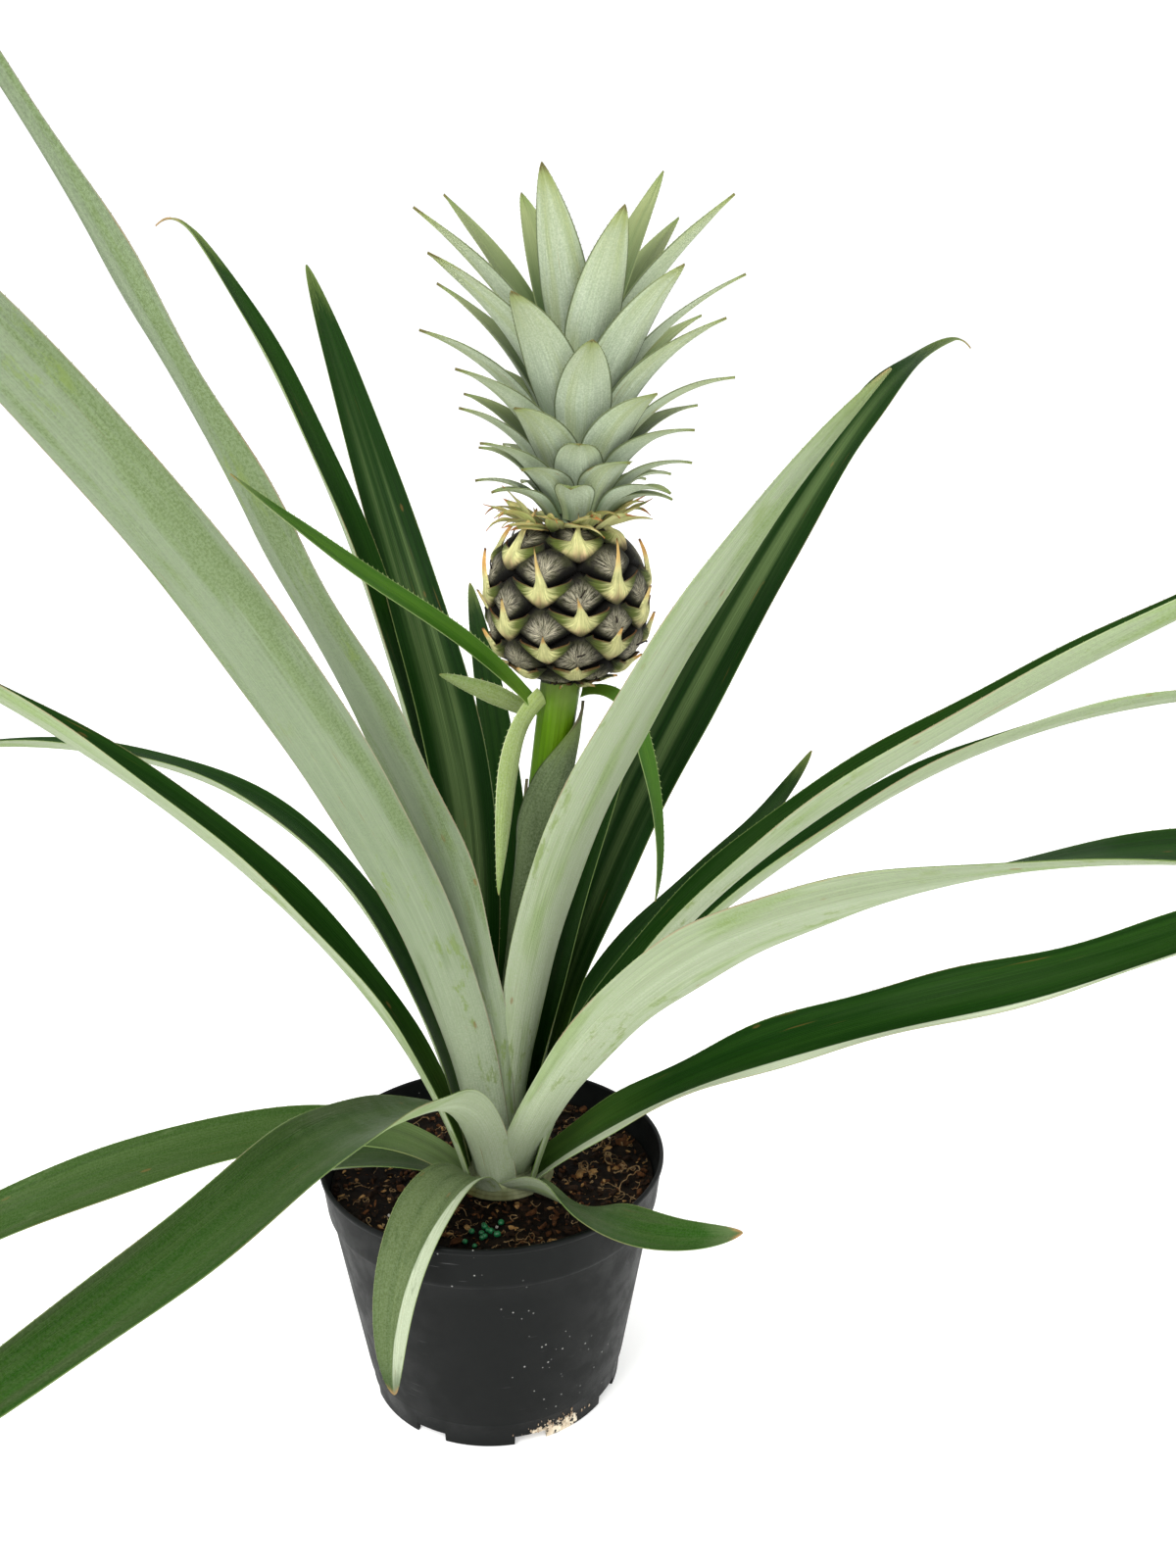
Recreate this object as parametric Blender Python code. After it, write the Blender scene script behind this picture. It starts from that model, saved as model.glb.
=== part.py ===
"""A potted pineapple plant: a nursery pot of soil, a rosette of strap leaves round a short stem,
and a stalk that carries one small fruit with its crown. Metres, +Z up, the pot's axis on +Z."""

import math
from dataclasses import dataclass

import bmesh
import bpy
import numpy as np
from mathutils import Matrix, Vector

# Nursery pot
POT_HEIGHT = 0.101
POT_RIM_RADIUS = 0.070
POT_BASE_RADIUS = 0.052
POT_WALL = 0.0016
RIM_BAND_HEIGHT = 0.018
RIM_BAND_STEP = 0.0012
SKIRT_HEIGHT = 0.011
SKIRT_THICKNESS = 0.0018
BODY_FOOT_RADIUS = 0.0538
BODY_TOP_RADIUS = 0.0662
FLOOR_UNDERSIDE = 0.0044
FLOOR_THICKNESS = 0.0018
CENTRE_PAD_RADIUS = 0.009
FOOT_COUNT = 8
NOTCH_WIDTH = 0.013
NOTCH_HEIGHT = 0.0040
FIRST_NOTCH_ANGLE = -76.0
DRAIN_COUNT = 6
DRAIN_RADIUS = 0.004
DRAIN_CIRCLE = 0.034
POT_SIDES = 48

# Soil and stem
GAP = 0.0003
SOIL_TOP = 0.0888
SOIL_SIDES = 36
STEM_RADIUS = 0.0062
STEM_PIT_BOTTOM = 0.066
STEM_NECK_RADIUS = 0.0050
STEM_TOP = 0.1028
CONE_SLOPE = 0.5
OUTER_RING = 0.020
LEAF_BASE_HEIGHT = 0.0915

# Rosette
ROSETTE_AXIS = (0.004, 0.0)
LEAF_THICKNESS = 0.0013
LEAF_EDGE = 0.0005
LEAF_STATIONS = 13
SHEATH_LENGTH = 0.09
BASE_WIDTH_SHARE = 0.55

# Stalk and fruit
STALK_PATH = ((0.0045, 0.0, 0.1036), (0.0095, 0.0, 0.145), (0.0165, 0.0, 0.200),
              (0.0235, 0.0, 0.255), (0.0290, 0.0, 0.2952))
STALK_RADII = (0.0046, 0.0054, 0.0064, 0.0072, 0.0078)
FRUIT_CENTRE = (0.0316, 0.0, 0.3246)
FRUIT_RADIUS = 0.0290
FRUIT_HALF_HEIGHT = 0.0285
EYE_ROWS = 7
EYES_PER_ROW = 8
EYE_RELIEF = 0.0012

# Crown. The trends run from its lowest leaf to its topmost.
CROWN_AXIS = (0.0355, 0.0)
CROWN_BASE = FRUIT_CENTRE[2] + FRUIT_HALF_HEIGHT + GAP
CROWN_CORE = ((0.0095, 0.0), (0.0090, 0.010), (0.0078, 0.022), (0.0058, 0.034), (0.0036, 0.042),
              (0.0, 0.044))
CROWN_LEAVES = 50
CROWN_CLIMB = 0.0407
CROWN_CLIMB_POWER = 2.13
CROWN_TURN = 138.8
CROWN_FRONT_LEAF = 4
CROWN_FRONT_HEADING = -98.0
CROWN_LENGTH = (0.0275, 0.0361, 0.0545, 0.0749, 0.0878)
CROWN_WIDTH = (0.0135, 0.0170, 0.0195, 0.0215, 0.0185)
CROWN_FOLD = (60.0, 60.0, 65.0, 75.0, 90.0)
CROWN_RISE = ((60, 68, 74, 75, 75), (41, 51, 58, 60, 63), (22, 33, 41, 47, 53), (3, 14, 25, 35, 46),
              (-18, -6, 8, 23, 41))
# Leaves that differ from the trends: share of the length, degrees turned, degrees lifted.
CROWN_SHIFTS = {2: (0.95, -2, -11), 7: (1.00, 4, -13), 10: (0.90, 0, -7), 11: (1.09, 0, 9),
                14: (1.06, 2, 7), 15: (0.93, 0, -8), 19: (1.00, 0, 11), 20: (0.96, 2, -7),
                24: (0.98, -6, 7), 28: (1.00, 0, -8), 36: (0.92, 4, 0), 37: (0.98, -4, 7),
                40: (1.02, -4, -4), 41: (0.95, 0, -6), 42: (1.22, 4, 10), 43: (1.02, 5, 0),
                44: (1.11, -7, 2), 47: (1.07, -2, 5), 48: (0.97, 5, 0), 49: (1.02, 13, 14)}
COLLARS = (("crown_collar_lower", 0, 9, 0.0012), ("crown_collar_middle", 9, 18, 0.0037),
           ("crown_collar_upper", 18, 26, 0.0082))
CROWN_LEAF_THICKNESS = 0.0009
CROWN_LEAF_STATIONS = 9
CROWN_LEAF_SEAT = 0.0010
CROWN_LEAF_FOOT = 0.0012
CROWN_SHEATH_LENGTH = 0.016
CROWN_BASE_SHARE = 0.28
CROWN_WIDEST = 0.36


@dataclass(frozen=True)
class Strap:
    """One strap leaf. Angles in degrees, evenly spaced from base to tip."""
    name: str
    ring: float
    length: float
    width: float
    rise: tuple
    heading: tuple
    roll: tuple
    fold: float = 75.0


# From the lowest, outermost leaf up and inwards. Heading -90 faces the front.
ROSETTE = (
    Strap("leaf_01_low_left", 0.0200, 0.105, 0.022, (36, 6, -12, -30), (-168, -172, -173), (0, -5, -5)),
    Strap("leaf_02_left", 0.0179, 0.345, 0.023, (51, 3, -15, -32, -49), (-160, -164, -169), (20, 27, 16)),
    Strap("leaf_03_front_short", 0.0180, 0.119, 0.023, (59, 10, -31, -71, -100),
          (-120, -115, -107), (5, 5, 0)),
    Strap("leaf_04_front_right_short", 0.0180, 0.120, 0.023, (25, 14, 11, 17, 25),
          (-66, -54, -23), (14, 3, -30)),
    Strap("leaf_05_right_low", 0.0160, 0.370, 0.023, (45, 30, 21, 28, 33),
          (-20, -19, -12), (-19, -38, -30)),
    Strap("leaf_06_left_arching", 0.0156, 0.428, 0.027, (75, 55, 39, 28, 18),
          (197, 183, 177), (40, 20, 26), 125),
    Strap("leaf_07_front_left", 0.0142, 0.376, 0.027, (75, 30, 22, 9, 8, 6),
          (-110, -108, -123), (18, 23, 22)),
    Strap("leaf_08_back_left_drooping", 0.0140, 0.417, 0.023, (79, 57, 15, -9, -34),
          (156, 163, 162), (-2, -10, 0)),
    Strap("leaf_09_back_right_short", 0.0140, 0.273, 0.023, (72, 41, 19, 15, 15), (42, 44, 58), (6, 7, 2)),
    Strap("leaf_10_right", 0.0141, 0.468, 0.030, (73, 53, 37, 32, 27), (-29, -31, -26), (-42, -13, 1), 150),
    Strap("leaf_11_front_right", 0.0122, 0.460, 0.026, (60, 45, 31, 20, -4), (-65, -65, -64), (6, 29, -60)),
    Strap("leaf_12_back_left", 0.0124, 0.422, 0.023, (86, 81, 68, 53, 31), (146, 143, 124), (-1, -1, 12)),
    Strap("leaf_13_right_narrow", 0.0124, 0.414, 0.024, (74, 42, 28, 10, -4),
          (5, 6, 5), (-15, 12, 40), 126),
    Strap("leaf_14_front_left_tall", 0.0102, 0.534, 0.027, (83, 61, 51, 40, 28),
          (-125, -125, -128), (-12, -35, -49)),
    Strap("leaf_15_back_tall", 0.0106, 0.409, 0.026, (83, 90, 62, 51, 41), (140, 121, 110), (2, 15, 10)),
    Strap("leaf_16_back_right_tall", 0.0100, 0.477, 0.028, (81, 64, 51, 44, 33, 5),
          (27, 40, 43), (-16, -32, -6)),
    Strap("leaf_17_left_tall", 0.0077, 0.469, 0.024, (86, 75, 63, 64, 62, 55),
          (-111, -138, -158, -154), (2, -18, -24)),
    Strap("leaf_18_back_right_inner", 0.0081, 0.245, 0.023, (77, 79, 72, 68, 66),
          (18, 25, 35), (-5, -11, -10)),
    Strap("leaf_19_front_inner", 0.0064, 0.364, 0.023, (85, 72, 55, 48, 38), (-57, -60, -61), (2, 12, 10)),
    Strap("leaf_20_back_inner", 0.0060, 0.300, 0.019, (84, 64, 46, 30, 20), (75, 95, 95), (-5, -4, 1)),
)


# Bracts on the upper stalk: the strap, then the height where it leaves the stalk.
BRACT_THICKNESS = 0.0009
BRACT_STATIONS = 10
BRACT_BASE_SHARE = 0.75
BRACT_SHEATH_LENGTH = 0.020
BRACTS = (
    (Strap("stalk_bract_long", 0.0103, 0.137, 0.0104, (50, 39, 36, 39, 44), (-159, -161, -162), (65, 61, 59),
           70), 0.286),
    (Strap("stalk_bract_left", 0.0096, 0.104, 0.0112, (36, -11, -48, -78), (-114, -104, -124),
           (-104, -119, -108), 70), 0.291),
    (Strap("stalk_bract_right", 0.0092, 0.096, 0.0082, (27, -61, -77, -87, -97), (-27, -27, -25),
           (-28, -22, -18), 70), 0.291),
)
# Sheaths pressed on the stalk: name, heading, degrees they wrap, foot and tip height, gap from the stalk.
SHEATHS = (
    ("stalk_sheath_front", -128.0, 170.0, 0.130, 0.262, 0.0005),
    ("stalk_sheath_back", 40.0, 150.0, 0.136, 0.284, 0.0005),
)


def clear_scene():
    for obj in list(bpy.data.objects):
        bpy.data.objects.remove(obj, do_unlink=True)


def material(name, colour, roughness):
    found = bpy.data.materials.get(name)
    if found:
        return found
    made = bpy.data.materials.new(name)
    made.use_nodes = True
    shader = made.node_tree.nodes["Principled BSDF"]
    shader.inputs["Base Color"].default_value = (*colour, 1.0)
    shader.inputs["Roughness"].default_value = roughness
    made.diffuse_color = (*colour, 1.0)
    return made


def leaf_material():
    return material("leaf_green", (0.055, 0.16, 0.045), 0.45)


def crown_material():
    return material("crown_grey_green", (0.36, 0.46, 0.30), 0.60)


def bract_material():
    return material("bract_green", (0.22, 0.36, 0.06), 0.50)


def mesh_object(name, rings, finish, joined=False):
    """A tube through rings of equally many points. A ring of one point is a pole."""
    mesh = bpy.data.meshes.new(name)
    made = bmesh.new()
    add_tube(made, rings, joined)
    bmesh.ops.recalc_face_normals(made, faces=made.faces)
    made.to_mesh(mesh)
    made.free()
    mesh.shade_smooth()
    mesh.set_sharp_from_angle(angle=math.radians(40))
    obj = bpy.data.objects.new(name, mesh)
    if finish:
        mesh.materials.append(finish)
    bpy.context.scene.collection.objects.link(obj)
    return obj


def add_tube(made, rings, joined=False):
    """Adds a tube with its two ends capped, or with its last ring joined to its first."""
    loops = [[made.verts.new(point) for point in ring] for ring in rings]
    pairs = list(zip(loops, loops[1:])) + ([(loops[-1], loops[0])] if joined else [])
    for lower, upper in pairs:
        count = max(len(lower), len(upper))
        for i in range(count):
            j = (i + 1) % count
            if len(lower) == 1:
                made.faces.new((lower[0], upper[j], upper[i]))
            elif len(upper) == 1:
                made.faces.new((lower[i], lower[j], upper[0]))
            else:
                made.faces.new((lower[i], lower[j], upper[j], upper[i]))
    for loop in (loops[0], loops[-1]):
        if len(loop) > 1 and not joined:
            made.faces.new(loop)


def turned(name, profile, sides, finish, centre=(0.0, 0.0), lift=None):
    """Turns (radius, height) points, which start and end on the axis, round a vertical axis.
    A third value moves that ring along X."""
    rings = []
    for radius, height, *shift in profile:
        middle = centre[0] + sum(shift)
        if radius == 0:
            rings.append([Vector((middle, centre[1], height))])
            continue
        ring = []
        for k in range(sides):
            angle = 2 * math.pi * k / sides
            out, up = lift(radius, angle, height) if lift else (0.0, 0.0)
            x, y = (radius + out) * math.cos(angle), (radius + out) * math.sin(angle)
            ring.append(Vector((middle + x, centre[1] + y, height + up)))
        rings.append(ring)
    return mesh_object(name, rings, finish)


def cut_with(obj, cutter):
    modifier = obj.modifiers.new("cut_" + cutter.name, "BOOLEAN")
    modifier.operation = "DIFFERENCE"
    modifier.object = cutter
    modifier.solver = "EXACT"


def helper_object(name, made):
    """A mesh that only a Boolean reads."""
    mesh = bpy.data.meshes.new(name)
    bmesh.ops.recalc_face_normals(made, faces=made.faces)
    made.to_mesh(mesh)
    made.free()
    obj = bpy.data.objects.new(name, mesh)
    obj.hide_render = True
    obj.display_type = "WIRE"
    bpy.context.scene.collection.objects.link(obj)
    return obj


# Pot, soil and stem


def pot_radius(height):
    """Outside of the pot's tapered body."""
    share = (height - SKIRT_HEIGHT) / (POT_HEIGHT - RIM_BAND_HEIGHT - SKIRT_HEIGHT)
    return BODY_FOOT_RADIUS + share * (BODY_TOP_RADIUS - BODY_FOOT_RADIUS)


def pot_profile():
    rim = POT_RIM_RADIUS
    floor_top = FLOOR_UNDERSIDE + FLOOR_THICKNESS
    skirt_inner = POT_BASE_RADIUS - SKIRT_THICKNESS
    band_low = POT_HEIGHT - RIM_BAND_HEIGHT
    return [
        (0, 0), (CENTRE_PAD_RADIUS, 0), (CENTRE_PAD_RADIUS, FLOOR_UNDERSIDE),
        (skirt_inner, FLOOR_UNDERSIDE), (skirt_inner, 0), (POT_BASE_RADIUS, 0),
        (POT_BASE_RADIUS + 0.0010, SKIRT_HEIGHT), (pot_radius(SKIRT_HEIGHT), SKIRT_HEIGHT + 0.0004),
        (pot_radius(0.030), 0.030), (pot_radius(0.050), 0.050), (pot_radius(0.068), 0.068),
        (pot_radius(band_low), band_low), (pot_radius(band_low) + RIM_BAND_STEP, band_low + 0.0006),
        (rim - 0.0004, POT_HEIGHT - 0.0020), (rim, POT_HEIGHT - 0.0010), (rim - 0.0004, POT_HEIGHT),
        (rim - 0.0013, POT_HEIGHT), (rim - 0.0018, POT_HEIGHT - 0.0010),
        (pot_radius(band_low) + RIM_BAND_STEP - POT_WALL, band_low + 0.0014),
        (pot_radius(band_low) - POT_WALL, band_low), (pot_radius(0.045) - POT_WALL, 0.045),
        (pot_radius(floor_top) - POT_WALL, floor_top), (0, floor_top),
    ]


def foot_notches():
    """The gaps under the skirt that leave the feet."""
    made = bmesh.new()
    for k in range(FOOT_COUNT):
        angle = math.radians(FIRST_NOTCH_ANGLE) + 2 * math.pi * k / FOOT_COUNT
        verts = bmesh.ops.create_cube(made, size=1.0)["verts"]
        bmesh.ops.scale(made, vec=(0.012, NOTCH_WIDTH, 0.0050), verts=verts)
        bmesh.ops.translate(made, vec=(0.0517, 0, NOTCH_HEIGHT - 0.0025), verts=verts)
        bmesh.ops.rotate(made, cent=(0, 0, 0), matrix=Matrix.Rotation(angle, 3, "Z"), verts=verts)
    return helper_object("foot_notches", made)


def drain_holes():
    made = bmesh.new()
    for k in range(DRAIN_COUNT):
        angle = 2 * math.pi * k / DRAIN_COUNT
        centre = (DRAIN_CIRCLE * math.cos(angle), DRAIN_CIRCLE * math.sin(angle), FLOOR_UNDERSIDE)
        bmesh.ops.create_cone(made, cap_ends=True, segments=20, radius1=DRAIN_RADIUS, radius2=DRAIN_RADIUS,
                              depth=0.008, matrix=Matrix.Translation(centre))
    return helper_object("drain_holes", made)


def build_pot():
    black = material("pot_black_plastic", (0.018, 0.020, 0.021), 0.48)
    pot = turned("nursery_pot", pot_profile(), POT_SIDES, black)
    cut_with(pot, foot_notches())
    cut_with(pot, drain_holes())


def soil_lift(radius, angle, height):
    """Low mounds on the soil's face."""
    if height < SOIL_TOP - 0.0001 or radius < 0.024 or radius > 0.0640:
        return 0.0, 0.0
    return 0.0, 0.0009 * math.sin(3 * angle + 60 * radius) * math.cos(2 * angle + 190 * radius)


def build_soil():
    brown = material("potting_soil_brown", (0.060, 0.036, 0.022), 0.95)
    low = FLOOR_UNDERSIDE + FLOOR_THICKNESS + GAP
    band_low = POT_HEIGHT - RIM_BAND_HEIGHT
    inner = pot_radius(band_low) - POT_WALL - GAP
    pit, aside = STEM_RADIUS + GAP, ROSETTE_AXIS[0]
    profile = [
        (0, low), (pot_radius(low) - POT_WALL - GAP, low), (pot_radius(0.045) - POT_WALL - GAP, 0.045),
        (inner, band_low - 0.0002), (inner + RIM_BAND_STEP - 0.0003, band_low + 0.0016),
        (inner + RIM_BAND_STEP + 0.0003, SOIL_TOP - 0.0006), (0.0640, SOIL_TOP), (0.0560, SOIL_TOP),
        (0.0470, SOIL_TOP), (0.0380, SOIL_TOP), (0.0300, SOIL_TOP, 0.002), (0.0225, SOIL_TOP, aside),
        (pit, SOIL_TOP, aside), (pit, STEM_PIT_BOTTOM, aside), (0, STEM_PIT_BOTTOM, aside),
    ]
    turned("potting_soil", profile, SOIL_SIDES, brown, lift=soil_lift)


def cone_height(radius):
    """Top of the stem's cone, just below the leaf bases."""
    return LEAF_BASE_HEIGHT - 0.0011 + (OUTER_RING - radius) * CONE_SLOPE


def build_stem():
    pale = material("stem_pale_green", (0.40, 0.46, 0.26), 0.70)
    under = SOIL_TOP + GAP
    edge = 0.0208
    profile = [
        (0, STEM_PIT_BOTTOM + GAP), (STEM_RADIUS - 0.0012, STEM_PIT_BOTTOM + GAP),
        (STEM_RADIUS, STEM_PIT_BOTTOM + 0.0020), (STEM_RADIUS, under), (edge - 0.0004, under),
        (edge, under + 0.0006), (edge - 0.0003, cone_height(edge)), (0.0140, cone_height(0.0140)),
        (0.0085, cone_height(0.0085)), (STEM_NECK_RADIUS, cone_height(STEM_NECK_RADIUS)),
        (STEM_NECK_RADIUS - 0.0009, STEM_TOP - 0.0003), (STEM_NECK_RADIUS - 0.0014, STEM_TOP), (0, STEM_TOP),
    ]
    turned("stem_base", profile, 32, pale, centre=ROSETTE_AXIS)


# Strap leaves


def smoothed(stations, share):
    """A smooth curve through evenly spaced station values."""
    values = np.asarray(stations, float)
    last = len(values) - 1
    place = np.clip(share, 0, 1) * last
    i = np.minimum(place.astype(int), last - 1)
    u = place - i
    here, after = values[i], values[i + 1]
    before = np.where(i > 0, values[np.maximum(i - 1, 0)], 2 * here - after)
    beyond = np.where(i < last - 1, values[np.minimum(i + 2, last)], 2 * after - here)
    start, end = (after - before) / 2, (beyond - here) / 2
    return ((2 * u**3 - 3 * u**2 + 1) * here + (u**3 - 2 * u**2 + u) * start
            + (3 * u**2 - 2 * u**3) * after + (u**3 - u**2) * end)


def width_share(share, base, widest=0.42):
    """How much of its full width a leaf has along its length."""
    rise = base + (1 - base) * (0.5 - 0.5 * np.cos(np.pi * np.clip(share / widest, 0, 1)))
    t = np.clip((share - widest) / (1 - widest), 0, 1)
    return rise * np.sqrt(np.clip(1 - t**1.9, 0, 1)) * (1 - 0.25 * t)


def leaf_rings(leaf, axis, height, stations, thickness, base, sheath, widest=0.42):
    """Rings of eight points along a strap leaf's two faces, ending in one point."""
    share = np.linspace(0, 1, stations) ** 0.85
    fine = np.linspace(0, 1, 8 * stations + 1)
    rise, heading, roll = (np.radians(smoothed(v, fine)) for v in (leaf.rise, leaf.heading, leaf.roll))
    along = np.stack([np.cos(rise) * np.cos(heading), np.cos(rise) * np.sin(heading), np.sin(rise)], 1)
    up = np.stack([-np.sin(rise) * np.cos(heading), -np.sin(rise) * np.sin(heading), np.cos(rise)], 1)
    across = np.stack([np.sin(heading), -np.cos(heading), 0 * heading], 1)
    side = np.cos(roll)[:, None] * across + np.sin(roll)[:, None] * up
    normal = np.cos(roll)[:, None] * up - np.sin(roll)[:, None] * across
    step = leaf.length / (len(fine) - 1)
    start = np.array([axis[0] + leaf.ring * math.cos(heading[0]), axis[1] + leaf.ring * math.sin(heading[0]),
                      height])
    path = start + np.concatenate([np.zeros((1, 3)), np.cumsum((along[1:] + along[:-1]) / 2 * step, 0)])
    width = leaf.width * width_share(share, base, widest)
    blend = np.clip(share * leaf.length / sheath, 0, 1)
    blend = blend * blend * (3 - 2 * blend)
    bend = width[0] / leaf.ring * (1 - blend) + math.radians(leaf.fold) * blend
    rings = []
    for k in range(stations - 1):
        at = min(int(round(share[k] * (len(fine) - 1))), len(fine) - 1)
        radius = width[k] / bend[k]
        faces = ([], [])
        for u in (-1, -1 / 3, 1 / 3, 1):
            angle = u * bend[k] / 2
            aside, above = radius * math.sin(angle), radius * (1 - math.cos(angle))
            middle = path[at] + side[at] * aside + normal[at] * above
            outward = normal[at] * math.cos(angle) - side[at] * math.sin(angle)
            half = (LEAF_EDGE if abs(u) == 1 else thickness) / 2 * (1 - 0.45 * share[k])
            faces[0].append(Vector(middle + outward * half))
            faces[1].append(Vector(middle - outward * half))
        rings.append(faces[0] + faces[1][::-1])
    return rings + [[Vector(path[-1])]]


def rosette_height(leaf):
    return LEAF_BASE_HEIGHT + (OUTER_RING - leaf.ring) * CONE_SLOPE


def build_rosette():
    green = leaf_material()
    for leaf in ROSETTE:
        rings = leaf_rings(leaf, ROSETTE_AXIS, rosette_height(leaf), LEAF_STATIONS, LEAF_THICKNESS,
                           BASE_WIDTH_SHARE, SHEATH_LENGTH)
        mesh_object(leaf.name, rings, green)


# Stalk, bracts and fruit


def path_tube(name, path, radii, sides, finish):
    """A round stalk along a path in the XZ plane."""
    rings = []
    points = [Vector(point) for point in path]
    for k, point in enumerate(points):
        before, after = points[max(k - 1, 0)], points[min(k + 1, len(points) - 1)]
        along = (after - before).normalized()
        if k in (0, len(points) - 1):
            along = Vector((0, 0, 1))
        side = Vector((0, 1, 0))
        front = side.cross(along)
        angles = [2 * math.pi * i / sides for i in range(sides)]
        rings.append([point + radii[k] * (math.cos(a) * front + math.sin(a) * side) for a in angles])
    mesh_object(name, rings, finish)


def build_stalk():
    yellow_green = material("stalk_yellow_green", (0.42, 0.56, 0.08), 0.45)
    path_tube("fruit_stalk", STALK_PATH, STALK_RADII, 20, yellow_green)


def stalk_centre(height):
    for (x0, _, z0), (x1, _, z1) in zip(STALK_PATH, STALK_PATH[1:]):
        if height <= z1:
            break
    return x0 + (x1 - x0) * (height - z0) / (z1 - z0)


def stalk_radius(height):
    heights = [point[2] for point in STALK_PATH]
    return float(np.interp(height, heights, STALK_RADII))


def build_bracts():
    finish = bract_material()
    for leaf, height in BRACTS:
        rings = leaf_rings(leaf, (stalk_centre(height), 0.0), height, BRACT_STATIONS, BRACT_THICKNESS,
                           BRACT_BASE_SHARE, BRACT_SHEATH_LENGTH)
        mesh_object(leaf.name, rings, finish)


def sheath_rings(heading, span, low, high, gap):
    """A blade that wraps the stalk from its foot and narrows to a point."""
    rings = []
    count = 9
    for k in range(count):
        share = k / (count - 1)
        z = low + (high - low) * share
        reach = math.radians(span) * (1 - share**2.2) / 2
        turn = math.radians(heading)
        centre = stalk_centre(z)
        inner = stalk_radius(z) + gap + 0.0004 * share
        if k == count - 1:
            middle = inner + 0.0004
            rings.append([Vector((centre + middle * math.cos(turn), middle * math.sin(turn), z))])
            break
        angles = [turn + reach * u for u in (-1, -0.5, 0, 0.5, 1)]
        ring = [Vector((centre + inner * math.cos(a), inner * math.sin(a), z)) for a in angles]
        outer = inner + 0.0008
        ring += [Vector((centre + outer * math.cos(a), outer * math.sin(a), z)) for a in angles[::-1]]
        rings.append(ring)
    return rings


def build_sheaths():
    grey = material("sheath_grey_green", (0.34, 0.44, 0.28), 0.65)
    for name, heading, span, low, high, gap in SHEATHS:
        mesh_object(name, sheath_rings(heading, span, low, high, gap), grey)


def eye_relief(radius, angle, height):
    """Shallow domes in offset rows round the fruit."""
    rows = (height - FRUIT_CENTRE[2] + FRUIT_HALF_HEIGHT) / (2 * FRUIT_HALF_HEIGHT) * EYE_ROWS
    row = math.floor(rows)
    up = 2 * (rows - row) - 1
    round_the_fruit = angle / (2 * math.pi) * EYES_PER_ROW + (0.5 if row % 2 else 0.0)
    across = 2 * (round_the_fruit - math.floor(round_the_fruit)) - 1
    dome = max(0.0, 1 - up * up) * max(0.0, 1 - across * across)
    return EYE_RELIEF * (dome - 0.5) * min(1.0, radius / FRUIT_RADIUS), 0.0


def fruit_radius(share):
    """Radius of the barrel at a share of its half height, from -1 to 1."""
    return FRUIT_RADIUS * (1 - abs(share) ** 2.7) ** (1 / 2.1)


def build_fruit():
    skin = material("fruit_skin_grey_brown", (0.17, 0.16, 0.11), 0.70)
    profile = [(0, FRUIT_CENTRE[2] - FRUIT_HALF_HEIGHT)]
    count = 15
    for k in range(count):
        share = -0.985 + 1.97 * k / (count - 1)
        profile.append((fruit_radius(share), FRUIT_CENTRE[2] + share * FRUIT_HALF_HEIGHT))
    profile.append((0, FRUIT_CENTRE[2] + FRUIT_HALF_HEIGHT))
    turned("fruit", profile, 40, skin, centre=FRUIT_CENTRE[:2], lift=eye_relief)


# Crown


def trend(values, index):
    return float(np.interp(index / (CROWN_LEAVES - 2), np.linspace(0, 1, len(values)), values))


def core_radius(climb):
    radii, heights = zip(*CROWN_CORE)
    return float(np.interp(climb, heights, radii))


def crown_leaf(index):
    """One crown leaf, counted from the lowest, and how far it stands above the crown's foot."""
    length, turn, lift = CROWN_SHIFTS.get(index, (1.0, 0, 0))
    climb = CROWN_CLIMB * (min(index, CROWN_LEAVES - 2) / (CROWN_LEAVES - 2)) ** CROWN_CLIMB_POWER
    heading = CROWN_FRONT_HEADING + (index - CROWN_FRONT_LEAF) * CROWN_TURN + turn
    rise = tuple(trend(row, index) + lift * (0.3 + 0.175 * k) for k, row in enumerate(CROWN_RISE))
    ring = core_radius(climb) + CROWN_LEAF_SEAT
    strap = Strap(f"crown_leaf_{index + 1:02d}", ring, length * trend(CROWN_LENGTH, index),
                  trend(CROWN_WIDTH, index), rise, (heading, heading), (0, 0), trend(CROWN_FOLD, index))
    return strap, climb + CROWN_LEAF_FOOT


def crown_rings(strap, climb):
    return leaf_rings(strap, CROWN_AXIS, CROWN_BASE + climb, CROWN_LEAF_STATIONS, CROWN_LEAF_THICKNESS,
                      CROWN_BASE_SHARE, CROWN_SHEATH_LENGTH, CROWN_WIDEST)


def build_crown_core():
    profile = [(0, CROWN_BASE)] + [(radius, CROWN_BASE + height) for radius, height in CROWN_CORE]
    turned("crown_core", profile, 20, crown_material(), centre=CROWN_AXIS)


def collar_band(name, foot):
    """The band that a tier's leaves grow from."""
    inner = core_radius(foot) + GAP
    outer = inner + 0.0008
    rings = []
    for radius, height in ((inner, -0.0008), (outer, -0.0008), (outer, 0.0009), (inner, 0.0009)):
        angles = [2 * math.pi * k / 28 for k in range(28)]
        rings.append([Vector((CROWN_AXIS[0] + radius * math.cos(a), CROWN_AXIS[1] + radius * math.sin(a),
                              CROWN_BASE + foot + height)) for a in angles])
    return mesh_object(name, rings, crown_material(), joined=True)


def build_collar(name, first, last, foot):
    """The short leaves of one tier, joined by a band round the core."""
    made = bmesh.new()
    for index in range(first, last):
        add_tube(made, crown_rings(crown_leaf(index)[0], foot))
    leaves = helper_object(name + "_leaves", made)
    modifier = collar_band(name, foot).modifiers.new("join_leaves", "BOOLEAN")
    modifier.operation = "UNION"
    modifier.object = leaves
    modifier.solver = "EXACT"
    modifier.use_self = True


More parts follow.
